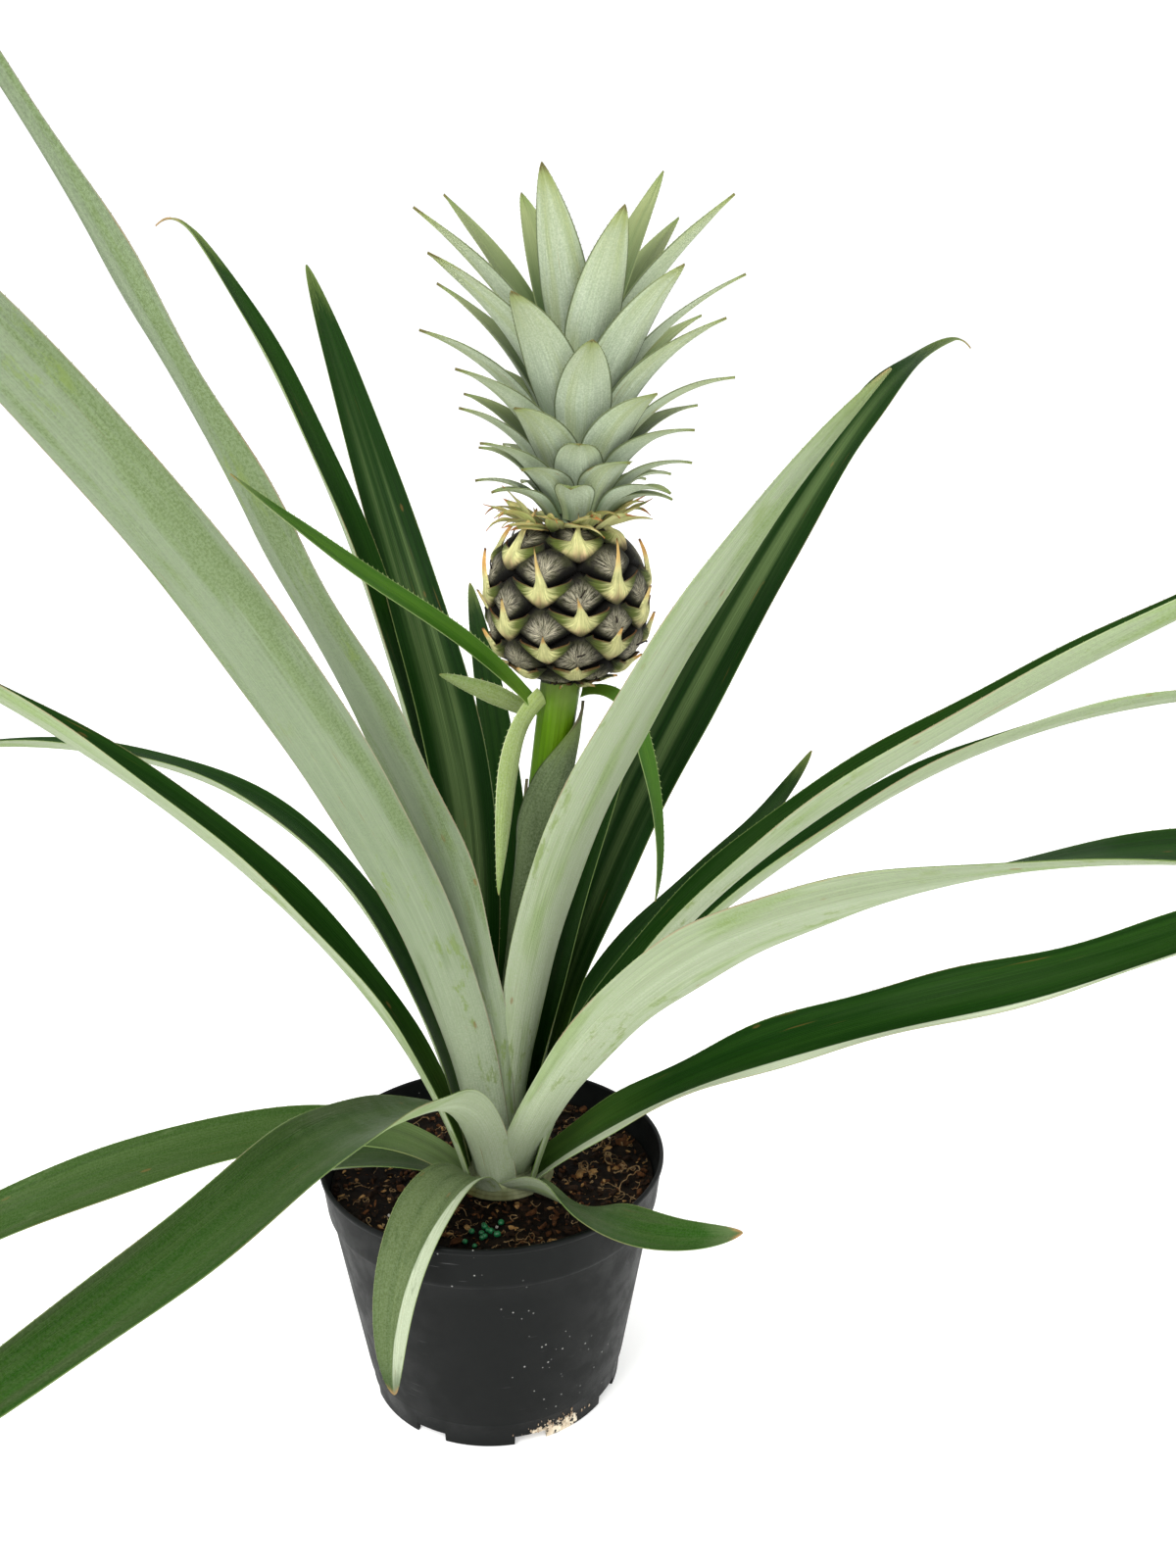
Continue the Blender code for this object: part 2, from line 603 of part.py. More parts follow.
def build_crown():
    green = crown_material()
    build_crown_core()
    for collar in COLLARS:
        build_collar(*collar)
    for index in range(COLLARS[-1][2], CROWN_LEAVES):
        strap, climb = crown_leaf(index)
        mesh_object(strap.name, crown_rings(strap, climb), green)


def main():
    clear_scene()
    build_pot()
    build_soil()
    build_stem()
    build_rosette()
    build_stalk()
    build_bracts()
    build_sheaths()
    build_fruit()
    build_crown()


if __name__ == "__main__":
    main()
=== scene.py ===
"""Looks of a potted pineapple plant: every blade, bract, fruit eye, soil crumb and the pot, with its studio."""

import logging
import math
from dataclasses import dataclass
from enum import Enum
from typing import Iterable, Sequence

import bmesh
import bpy
import numpy as np
from mathutils import Matrix, Vector, noise


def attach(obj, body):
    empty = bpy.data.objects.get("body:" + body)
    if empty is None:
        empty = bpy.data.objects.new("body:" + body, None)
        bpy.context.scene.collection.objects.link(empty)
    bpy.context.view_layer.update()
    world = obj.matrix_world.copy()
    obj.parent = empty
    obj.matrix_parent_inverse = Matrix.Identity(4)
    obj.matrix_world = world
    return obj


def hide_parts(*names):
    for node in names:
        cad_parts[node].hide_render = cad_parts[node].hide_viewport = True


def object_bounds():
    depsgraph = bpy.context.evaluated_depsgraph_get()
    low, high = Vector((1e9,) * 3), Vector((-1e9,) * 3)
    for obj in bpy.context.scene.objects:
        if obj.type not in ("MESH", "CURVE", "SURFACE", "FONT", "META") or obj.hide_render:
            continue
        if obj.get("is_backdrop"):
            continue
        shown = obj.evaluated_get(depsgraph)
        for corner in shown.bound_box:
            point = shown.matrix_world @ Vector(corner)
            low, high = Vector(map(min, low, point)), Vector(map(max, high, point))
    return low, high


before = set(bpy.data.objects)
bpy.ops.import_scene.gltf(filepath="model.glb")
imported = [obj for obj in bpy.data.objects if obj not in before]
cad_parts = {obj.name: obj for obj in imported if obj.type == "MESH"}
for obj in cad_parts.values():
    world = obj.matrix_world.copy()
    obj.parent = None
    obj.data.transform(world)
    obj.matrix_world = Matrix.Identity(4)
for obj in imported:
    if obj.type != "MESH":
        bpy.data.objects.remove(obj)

LOG = logging.getLogger("pineapple_plant")
BODY = "root"
NODE_STEP = (220, -260)
NODES_ACROSS = 12
BLACK = (0.0, 0.0, 0.0)

Array = np.ndarray
Pair = tuple[float, float]
Point = tuple[float, float, float]
Row = tuple[float, ...]
Colour = Point
Socket = bpy.types.NodeSocket
Source = Socket | float | Sequence[float]


class Coordinate(Enum):
    """The coordinates that a finish is laid out in."""
    BLADE = "blade"
    LIFE = "life"
    SKIN = "skin"


class Tone(Enum):
    """How dark the upper face of a strap leaf is."""
    DEEP = "leaf_upper_deep"
    # Deep green with pale lengthwise streaks that are painted sheen.
    SHEEN_STREAKED = "leaf_upper_streaked"
    FRESH = "leaf_upper_fresh"
    DUSTY = "leaf_upper_dusty"


class Underside(Enum):
    """Which finish the lower face of a strap leaf takes: pale, or a darker grey copy whose extra darkness is
    painted shade.
    """
    PALE = "leaf_lower_pale"
    GREY_SHADED = "leaf_lower_grey"


# Shader nodes


class Pen:
    """Places and links shader nodes in one tree."""

    def __init__(self, tree: bpy.types.NodeTree) -> None:
        """Starts on a material's, a group's or a world's tree."""
        self.tree = tree
        self.placed = len(tree.nodes)

    def add(self, kind: str, inputs: dict[int | str, Source] | None = None, **settings: object
            ) -> bpy.types.Node:
        """Places a node.

        Args:
            kind: the node's type name.
            inputs: what feeds its inputs, by number or name.
            **settings: properties of the node.

        Returns:
            The node.
        """
        node = self.tree.nodes.new(kind)
        row, column = divmod(self.placed, NODES_ACROSS)
        node.location = (NODE_STEP[0] * column, NODE_STEP[1] * row)
        self.placed += 1
        for name, value in settings.items():
            setattr(node, name, value)
        for key, source in (inputs or {}).items():
            self.feed(node.inputs[key], source)
        return node

    def feed(self, socket: Socket, source: Source) -> None:
        """Links a socket, or sets its value.

        Args:
            socket: the input.
            source: an output socket, a number, or a colour of three values.
        """
        if isinstance(source, Socket):
            self.tree.links.new(source, socket)
        elif socket.type == "RGBA":
            socket.default_value = (*source, 1.0)
        else:
            socket.default_value = source

    def math(self, operation: str, first: Source, second: Source = 0.0) -> Socket:
        """Works out one number with a Math node's operation."""
        return self.add("ShaderNodeMath", {0: first, 1: second}, operation=operation).outputs[0]

    def times(self, first: Source, second: Source) -> Socket:
        """Multiplies two numbers."""
        return self.math("MULTIPLY", first, second)

    def plus(self, first: Source, second: Source) -> Socket:
        """Adds two numbers."""
        return self.math("ADD", first, second)

    def minus(self, first: Source, second: Source) -> Socket:
        """Takes the second number from the first."""
        return self.math("SUBTRACT", first, second)

    def hypotenuse(self, first: Source, second: Source) -> Socket:
        """Gives the distance that two lengths at right angles span."""
        return self.math("SQRT", self.plus(self.times(first, first), self.times(second, second)))

    def mask(self, value: Source, low: float, high: float) -> Socket:
        """Turns a value into a soft mask, 0 at low and 1 at high, whichever of the two is greater."""
        inputs = {"Value": value, "From Min": min(low, high), "From Max": max(low, high),
                  "To Min": float(low > high), "To Max": float(low < high)}
        return self.add("ShaderNodeMapRange", inputs, interpolation_type="SMOOTHSTEP").outputs[0]

    def mix(self, factor: Source, first: Source, second: Source) -> Socket:
        """Mixes two colours, from the first at 0 to the second at 1."""
        return self.add("ShaderNodeMix", {0: factor, 6: first, 7: second}, data_type="RGBA").outputs[2]

    def layered(self, colour: Source, *layers: tuple[Source, float, Source]) -> Source:
        """Lays tints over a colour, one after the other.

        Args:
            colour: the colour below them.
            *layers: each tint's mask, its strength and its colour.

        Returns:
            The colour that shows.
        """
        for mask, strength, tint in layers:
            colour = self.mix(self.times(mask, strength), colour, tint)
        return colour

    def stretched(self, vector: Source, factors: Point) -> Socket:
        """Scales a coordinate in X, Y and Z."""
        return self.add("ShaderNodeVectorMath", {0: vector, 1: factors}, operation="MULTIPLY").outputs[0]

    def noise(self, vector: Source, scale: Source, detail: float = 2.0, rough: float = 0.5) -> Socket:
        """Gives soft noise about 0.5, with finer layers of its own strength."""
        inputs = {"Vector": vector, "Scale": scale, "Detail": detail, "Roughness": rough}
        return self.add("ShaderNodeTexNoise", inputs).outputs["Fac"]

    def streaks(self, vector: Source, factors: Point, detail: float, rough: float) -> Socket:
        """Gives soft noise on a stretched coordinate."""
        return self.noise(self.stretched(vector, factors), 1.0, detail, rough)

    def cells(self, vector: Source, scale: float) -> Socket:
        """Gives the distance to the nearest of scattered points."""
        return self.add("ShaderNodeTexVoronoi", {"Vector": vector, "Scale": scale}).outputs["Distance"]

    def parts(self, vector: Source) -> tuple[Socket, ...]:
        """Gives a coordinate's three numbers."""
        return tuple(self.add("ShaderNodeSeparateXYZ", {0: vector}).outputs)

    def vector(self, x: Source, y: Source, z: Source = 0.0) -> Socket:
        """Joins three numbers to a coordinate."""
        return self.add("ShaderNodeCombineXYZ", {0: x, 1: y, 2: z}).outputs[0]

    def map(self, coordinate: Coordinate) -> Socket:
        """Reads one of the surface's own maps."""
        return self.add("ShaderNodeUVMap", uv_map=coordinate.value).outputs[0]

    def place(self) -> Socket:
        """Reads the place on the object, in metres."""
        return self.add("ShaderNodeTexCoord").outputs["Object"]

    def group(self, tree: bpy.types.NodeTree, **inputs: Source) -> dict[str, Socket]:
        """Places a shared effect and gives its outputs by name."""
        node = self.add("ShaderNodeGroup", inputs, node_tree=tree)
        return {socket.name: socket for socket in node.outputs}

    def bump(self, height: Source, strength: float, relief: float) -> Socket:
        """Turns a height from 0 to 1 into a normal, where 1 stands for the relief in metres."""
        inputs = {"Strength": strength, "Distance": relief, "Height": height}
        return self.add("ShaderNodeBump", inputs).outputs["Normal"]


class EffectPen(Pen):
    """Places the nodes of a shared effect."""

    def __init__(self, name: str, **inputs: str) -> None:
        """Starts a node group.

        Args:
            name: the group's name.
            **inputs: each input's kind, Float or Vector, by name.
        """
        super().__init__(bpy.data.node_groups.new(name, "ShaderNodeTree"))
        for label, kind in inputs.items():
            self.tree.interface.new_socket(label, in_out="INPUT", socket_type="NodeSocket" + kind)
        self.given = {socket.name: socket for socket in self.add("NodeGroupInput").outputs}

    def give(self, **outputs: Source) -> bpy.types.NodeTree:
        """Ends the group.

        Args:
            **outputs: what each output gives, by name.

        Returns:
            The group.
        """
        for label in outputs:
            self.tree.interface.new_socket(label, in_out="OUTPUT", socket_type="NodeSocketFloat")
        self.add("NodeGroupOutput", outputs)
        return self.tree


class MaterialPen(Pen):
    """Places the nodes of a material."""

    def __init__(self, name: str) -> None:
        """Starts a material.

        Args:
            name: the material's name.
        """
        made = bpy.data.materials.new(name)
        made.use_nodes = True
        super().__init__(made.node_tree)

    def dress(self, sources: dict[str, Source]) -> None:
        """Feeds the shader.

        Args:
            sources: what feeds each of its inputs, by name.
        """
        shader = self.tree.nodes["Principled BSDF"]
        for label, source in sources.items():
            self.feed(shader.inputs[label], source)


class Effects:
    """The effects that several finishes share, each built once."""

    def __init__(self) -> None:
        """Builds every effect."""
        self.build_veins()
        self.build_margin()
        self.build_dry_tip()
        self.build_scurf()
        self.build_marks()
        self.build_grime()

    def build_veins(self) -> None:
        """Builds fine and broad lines that run along a blade."""
        pen = EffectPen("blade_veins", Blade="Vector", Lines="Float", Drift="Float")
        across, along, _ = pen.parts(pen.given["Blade"])
        x, y = pen.times(across, pen.given["Lines"]), pen.times(along, pen.given["Drift"])
        fine = pen.noise(pen.vector(x, y), 1.0, 3.0, 0.6)
        broad = pen.noise(pen.vector(pen.times(x, 0.075), pen.times(y, 0.35), 4.0), 1.0, 3.0, 0.55)
        self.veins = pen.give(Fine=pen.mask(fine, 0.30, 0.70), Broad=pen.mask(broad, 0.34, 0.66))

    def build_margin(self) -> None:
        """Builds masks for the two edges of a blade, for its middle, and for rusty stretches."""
        pen = EffectPen("blade_margin", Blade="Vector", Width="Float")
        across, _, _ = pen.parts(pen.given["Blade"])
        edge = pen.math("MINIMUM", across, pen.minus(1.0, across))
        share = pen.math("DIVIDE", edge, pen.given["Width"])
        stretches = pen.streaks(pen.given["Blade"], (1.6, 13.0, 1.0), 3.0, 0.6)
        self.margin = pen.give(Mask=pen.mask(share, 1.0, 0.35), Middle=pen.mask(edge, 0.40, 0.50),
                               Rust=pen.mask(stretches, 0.50, 0.60))

    def build_dry_tip(self) -> None:
        """Builds a ragged mask for the dried tip of a blade, and a wider one for its halo."""
        pen = EffectPen("dry_tip", Blade="Vector", Life="Vector")
        share, dryness, _ = pen.parts(pen.given["Life"])
        across, _, _ = pen.parts(pen.given["Blade"])
        ragged = pen.streaks(pen.given["Blade"], (9.0, 120.0, 1.0), 3.0, 0.6)
        edge = pen.math("ABSOLUTE", pen.minus(across, 0.5))
        level = pen.plus(share, pen.times(edge, 0.05))
        level = pen.plus(level, pen.times(pen.minus(ragged, 0.5), 0.10))
        level = pen.plus(level, pen.times(dryness, 0.30))
        self.dry_tip = pen.give(Mask=pen.mask(level, 1.02, 1.07), Halo=pen.mask(level, 0.92, 1.04))

    def build_scurf(self) -> None:
        """Builds the fine pale stipple of a scurfy skin."""
        pen = EffectPen("scurf", Place="Vector", Grain="Float")
        place, grain = pen.given["Place"], pen.given["Grain"]
        fine = pen.noise(place, grain, 3.0, 0.75)
        cloud = pen.noise(place, pen.times(grain, 0.035), 3.0, 0.6)
        self.scurf = pen.give(Stipple=pen.mask(fine, 0.36, 0.62), Cloud=pen.mask(cloud, 0.35, 0.65))

    def build_marks(self) -> None:
        """Builds rub marks, lengthwise scars, sparse spots and soft patches on a blade."""
        pen = EffectPen("blade_marks", Blade="Vector")
        blade = pen.given["Blade"]
        rubs = pen.mask(pen.streaks(blade, (5.0, 62.0, 1.0), 6.0, 0.72), 0.53, 0.62)
        rubbed = pen.mask(pen.streaks(blade, (1.3, 10.0, 3.0), 1.0, 0.5), 0.48, 0.60)
        washes = pen.streaks(blade, (2.4, 8.0, 5.0), 4.0, 0.6)
        scars = pen.mask(pen.streaks(blade, (26.0, 26.0, 1.0), 2.0, 0.5), 0.66, 0.74)
        worn = pen.streaks(blade, (2.0, 11.0, 1.0), 1.0, 0.5)
        spots = pen.mask(pen.cells(pen.stretched(blade, (3.0, 42.0, 1.0)), 1.0), 0.10, 0.05)
        self.marks = pen.give(Rubs=pen.times(rubs, rubbed), Scars=pen.times(scars, pen.mask(worn, 0.5, 0.62)),
                              Spots=pen.times(spots, pen.mask(worn, 0.5, 0.6)),
                              Patches=pen.mask(washes, 0.49, 0.63))

    def build_grime(self) -> None:
        """Builds soft clouds, fine grains and sparse specks for plastic, soil and bark."""
        pen = EffectPen("grime", Place="Vector", Size="Float")
        scaled = pen.add("ShaderNodeVectorMath", {"Vector": pen.given["Place"],
                                                  "Scale": pen.given["Size"]}, operation="SCALE").outputs[0]
        cloud = pen.noise(scaled, 1.0, 4.0, 0.6)
        self.grime = pen.give(Cloud=pen.mask(cloud, 0.36, 0.64), Grain=pen.noise(scaled, 14.0, 4.0, 0.7),
                              Specks=pen.mask(pen.cells(scaled, 4.5), 0.10, 0.045))


# Finishes


@dataclass(frozen=True)
class BladeFinish:
    """One face of a blade: its colours, lines, scurf, marks and gloss."""
    name: str
    foot: Colour
    main: Colour
    stripe: Colour
    top: Colour
    margin: Colour = (0.2, 0.2, 0.1)
    mark: Colour = (0.17, 0.24, 0.06)
    scar: Colour = (0.20, 0.10, 0.03)
    dry: Colour = (0.34, 0.22, 0.09)
    foot_reach: float = 0.22
    lines: float = 70.0
    drift: float = 14.0
    fine: float = 0.30
    broad: float = 0.5
    margin_width: float = 0.035
    margin_strength: float = 0.8
    rust: float = 0.0
    rust_colour: Colour = (0.30, 0.19, 0.12)
    patch: Colour = (0.36, 0.45, 0.18)
    patches: float = 0.0
    pale: Colour = (0.48, 0.54, 0.38)
    rubs: float = 0.0
    scars: float = 0.6
    scurf: float = 0.0
    scurf_colour: Colour = (0.5, 0.58, 0.42)
    grain: float = 1500.0
    midrib: float = 0.0
    gathered_sheen: bool = False
    roughness: float = 0.5
    specular: float = 0.3
    relief: float = 0.00018

    def make(self, effects: Effects) -> None:
        """Makes the material.

        Args:
            effects: the shared effects.
        """
        pen = MaterialPen(self.name)
        blade, life = pen.map(Coordinate.BLADE), pen.map(Coordinate.LIFE)
        share, across = pen.parts(life)[0], pen.parts(blade)[0]
        veins = pen.group(effects.veins, Blade=blade, Lines=self.lines, Drift=self.drift)
        edges = pen.group(effects.margin, Blade=blade, Width=self.margin_width)
        dried = pen.group(effects.dry_tip, Blade=blade, Life=life)
        marks = pen.group(effects.marks, Blade=blade)
        scurf = pen.group(effects.scurf, Place=pen.place(), Grain=self.grain)
        streaks = veins["Broad"]
        # Keeps the broad streaks, here painted sheen, to the middle of the blade and fades them out over its
        # outer half.
        if self.gathered_sheen:
            aside = pen.math("ABSOLUTE", pen.minus(across, 0.5))
            inner = pen.times(pen.mask(aside, 0.36, 0.10), pen.mask(share, 0.95, 0.50))
            streaks = pen.times(streaks, inner)
        skin = pen.mask(pen.parts(pen.map(Coordinate.SKIN))[0], 0.36, 0.64)
        scarred = pen.math("MAXIMUM", marks["Scars"], marks["Spots"])
        rim = pen.mix(pen.times(edges["Rust"], self.rust), self.margin, self.rust_colour)
        colour = pen.layered(
            self.main, (pen.mask(share, 0.35, 1.0), 1.0, self.top),
            (pen.mask(share, self.foot_reach, 0.02), 1.0, self.foot), (streaks, self.broad, self.stripe),
            (edges["Middle"], self.midrib, self.stripe), (marks["Patches"], self.patches, self.patch),
            (skin, 1.0, self.pale), (veins["Fine"], 0.55 * self.fine, BLACK),
            (scurf["Stipple"], self.scurf, self.scurf_colour), (marks["Rubs"], self.rubs, self.mark),
            (scarred, self.scars, self.scar), (edges["Mask"], self.margin_strength, rim),
            (dried["Halo"], 0.7, self.mark), (dried["Mask"], 1.0, self.dry))
        rough = pen.plus(pen.times(scurf["Cloud"], 0.12), self.roughness - 0.04)
        height = pen.plus(pen.times(veins["Fine"], 0.7),
                          pen.times(scurf["Stipple"], 0.3 if self.scurf else 0.1))
        pen.dress({"Base Color": colour, "Specular IOR Level": self.specular,
                   "Roughness": pen.plus(rough, pen.times(dried["Mask"], 0.25)),
                   "Normal": pen.bump(height, 0.8, self.relief)})


@dataclass(frozen=True)
class PlasticFinish:
    """Matt moulded plastic with handling marks and a mineral crust at one foot."""
    name: str
    body: Colour = (0.0016, 0.0024, 0.0022)
    worn: Colour = (0.0062, 0.0070, 0.0066)
    dust: Colour = (0.40, 0.40, 0.38)
    scratched: Colour = (0.10, 0.10, 0.10)
    crust: Colour = (0.74, 0.68, 0.54)
    stained: Colour = (0.40, 0.28, 0.17)
    crust_heading: float = -65.0
    crust_spread: float = 17.0
    crust_height: float = 0.0085
    foot_radius: float = 0.0525

    def make(self, effects: Effects) -> None:
        """Makes the material.

        Args:
            effects: the shared effects.
        """
        pen = MaterialPen(self.name)
        place = pen.place()
        x, y, z = pen.parts(place)
        grime = pen.group(effects.grime, Place=place, Size=90.0)
        fine = pen.group(effects.grime, Place=pen.stretched(place, (1.0, 1.0, 0.25)), Size=420.0)
        dots = pen.times(pen.mask(pen.cells(place, 290.0), 0.125, 0.075),
                         pen.mask(pen.noise(place, 21.0, 1.0), 0.59, 0.66))
        scratches = pen.times(pen.mask(pen.streaks(place, (55.0, 55.0, 1500.0), 2.0, 0.5), 0.70, 0.76),
                              pen.mask(pen.noise(place, 44.0, 2.0), 0.52, 0.62))
        turn = math.radians(self.crust_heading)
        aside = pen.minus(x, self.foot_radius * math.cos(turn))
        ahead = pen.minus(y, self.foot_radius * math.sin(turn))
        reach = self.foot_radius * math.radians(self.crust_spread)
        away = pen.math("DIVIDE", pen.hypotenuse(aside, ahead), reach)
        high = pen.math("DIVIDE", z, self.crust_height)
        patch = pen.times(pen.mask(away, 1.1, 0.4), pen.mask(high, 1.1, 0.5))
        flaked = pen.noise(place, 420.0, 5.0, 0.7)
        crust = pen.mask(pen.plus(flaked, pen.times(patch, 0.30)), 0.70, 0.76)
        crust = pen.times(crust, pen.mask(patch, 0.05, 0.3))
        tint = pen.mix(pen.times(fine["Cloud"], 0.6), self.crust, self.stained)
        colour = pen.layered(self.body, (grime["Cloud"], 0.35, self.worn), (dots, 0.75, self.dust),
                             (scratches, 0.5, self.scratched), (crust, 1.0, tint))
        rough = pen.plus(pen.times(grime["Cloud"], 0.14), 0.42)
        height = pen.plus(pen.times(fine["Grain"], 0.15), crust)
        pen.dress({"Base Color": colour, "Roughness": pen.math("MAXIMUM", rough, crust),
                   "Specular IOR Level": 0.11, "Normal": pen.bump(height, 0.8, 0.0004)})


@dataclass(frozen=True)
class CrumbFinish:
    """Peat, bark, perlite, root and prill: two colours in grains, with a rough face."""
    name: str
    dark: Colour
    light: Colour
    size: float = 260.0
    cover: float = 0.6
    roughness: float = 0.85
    specular: float = 0.2
    relief: float = 0.0006

    def make(self, effects: Effects) -> None:
        """Makes the material.

        Args:
            effects: the shared effects.
        """
        pen = MaterialPen(self.name)
        grime = pen.group(effects.grime, Place=pen.place(), Size=self.size)
        grain = pen.mask(grime["Grain"], 0.35, 0.65)
        colour = pen.layered(self.dark, (grime["Cloud"], self.cover, self.light), (grain, 0.5, self.dark),
                             (grime["Specks"], 0.5, self.light))
        rough = pen.plus(pen.times(grain, 0.1), self.roughness - 0.05)
        pen.dress({"Base Color": colour, "Roughness": rough, "Specular IOR Level": self.specular,
                   "Normal": pen.bump(grime["Grain"], 0.7, self.relief)})


@dataclass(frozen=True)
class EyeFinish:
    """Skin of the fruit's eyes: near-black rims, darkened further in the grooves as painted shade, and fuzzy
    pale hearts with rays.
    """
    name: str
    rim: Colour = (0.0035, 0.0030, 0.0020)
    slate: Colour = (0.026, 0.024, 0.016)
    fuzz: Colour = (0.66, 0.61, 0.44)
    moss: Colour = (0.09, 0.10, 0.025)

    def make(self, effects: Effects) -> None:
        """Makes the material. The blade map holds the place inside each eye, in centimetres.

        Args:
            effects: the shared effects.
        """
        pen = MaterialPen(self.name)
        across, up, _ = pen.parts(pen.map(Coordinate.BLADE))
        edge = pen.parts(pen.map(Coordinate.LIFE))[0]
        place = pen.place()
        raised = pen.plus(up, 0.30)
        turn, out = pen.math("ARCTAN2", raised, across), pen.hypotenuse(across, raised)
        rays = pen.noise(pen.vector(pen.times(turn, 11.0), pen.times(out, 3.0),
                                    pen.times(pen.parts(place)[2], 90.0)), 1.0, 5.0, 0.8)
        grime = pen.group(effects.grime, Place=place, Size=300.0)
        scurf = pen.group(effects.scurf, Place=place, Grain=1300.0)
        pale = pen.times(pen.mask(out, 0.92, 0.22), pen.mask(rays, 0.38, 0.66))
        pale = pen.times(pale, pen.mask(edge, 0.34, 0.95))
        ragged = pen.plus(edge, pen.times(pen.minus(rays, 0.5), 0.25))
        # The last layer brings the near-black back near the grooves. It is partly the eyes' dark rims and
        # partly painted shade.
        colour = pen.layered(self.rim, (scurf["Stipple"], 0.7, self.slate), (pale, 1.0, self.fuzz),
                             (grime["Cloud"], 0.175, self.moss), (pen.mask(ragged, 0.60, 0.24), 1.0, self.rim))
        height = pen.plus(pen.times(rays, 0.8), grime["Grain"])
        pen.dress({"Base Color": colour, "Roughness": pen.plus(pen.times(pale, 0.3), 0.5),
                   "Specular IOR Level": 0.13, "Normal": pen.bump(height, 0.8, 0.0006)})


@dataclass(frozen=True)
class ShieldFinish:
    """The bract under each eye: cream heart, olive arms, pink-brown foot, a spike that dries to orange, and
    near-black painted shade at its arm ends and lowest edge.
    """
    name: str
    olive: Colour = (0.085, 0.110, 0.020)
    cream: Colour = (0.70, 0.68, 0.31)
    pink: Colour = (0.42, 0.22, 0.13)
    orange: Colour = (0.62, 0.28, 0.06)
    brown: Colour = (0.11, 0.045, 0.018)
    gap_shade: Colour = (0.012, 0.011, 0.007)

    def make(self, effects: Effects) -> None:
        """Makes the material. The blade map holds across and up; the life map holds spike and dryness.

        Args:
            effects: the shared effects.
        """
        pen = MaterialPen(self.name)
        across, up, _ = pen.parts(pen.map(Coordinate.BLADE))
        spike, dryness, _ = pen.parts(pen.map(Coordinate.LIFE))
        aside, place = pen.math("ABSOLUTE", across), pen.place()
        grime = pen.group(effects.grime, Place=place, Size=230.0)
        turn = pen.math("ARCTAN2", pen.minus(up, 1.15), across)
        streaks = pen.noise(pen.vector(pen.times(turn, 13.0), pen.times(up, 1.1),
                                       pen.times(pen.parts(place)[2], 60.0)), 1.0, 4.0, 0.7)
        hairs = pen.mask(streaks, 0.40, 0.62)
        ragged = pen.plus(aside, pen.times(pen.minus(streaks, 0.5), 0.55))
        low = pen.mask(pen.plus(up, pen.times(hairs, 0.14)), 0.55, 0.05)
        blush = pen.times(low, pen.mask(aside, 0.62, 0.10))
        dried = pen.mask(spike, 0.05, 0.6)
        burnt = pen.times(pen.mask(up, 0.90, 1.0), pen.mask(aside, 0.12, 0.30))
        colour = pen.layered(
            self.olive, (pen.mask(ragged, 0.58, 0.10), 1.0, self.cream), (blush, 0.75, self.pink),
            # The near-black layers at the arm ends and along the lowest edge are painted shade in the gaps
            # round the bract.
            (hairs, 0.34, self.olive), (pen.mask(ragged, 0.55, 0.92), 1.0, self.gap_shade),
            (pen.mask(up, 0.26, 0.0), 0.9, self.gap_shade), (grime["Cloud"], 0.22, self.olive),
            (pen.mask(spike, 0.02, 0.30), 0.7, self.cream), (dried, dryness, self.orange),
            (pen.mask(spike, 0.78, 1.0), 1.0, self.brown), (burnt, 0.75, self.brown))
        pen.dress({"Base Color": colour, "Roughness": pen.plus(pen.times(hairs, 0.2), 0.5),
                   "Specular IOR Level": 0.16, "Normal": pen.bump(hairs, 0.7, 0.0004)})


@dataclass(frozen=True)
class StudioFinish:
    """Matt white studio table, softly lit from below."""
    name: str
    white: Colour = (0.90, 0.90, 0.895)
    glow_colour: Colour = (1.0, 1.0, 0.99)
    glow: float = 0.30

    def make(self, effects: Effects) -> None:
        """Makes the material.

        Args:
            effects: the shared effects.
        """
        pen = MaterialPen(self.name)
        grime = pen.group(effects.grime, Place=pen.place(), Size=6.0)
        pen.dress({"Base Color": pen.layered(self.white, (grime["Cloud"], 0.015, BLACK)),
                   "Roughness": 0.9, "Specular IOR Level": 0.1, "Emission Color": self.glow_colour,
                   "Emission Strength": self.glow})


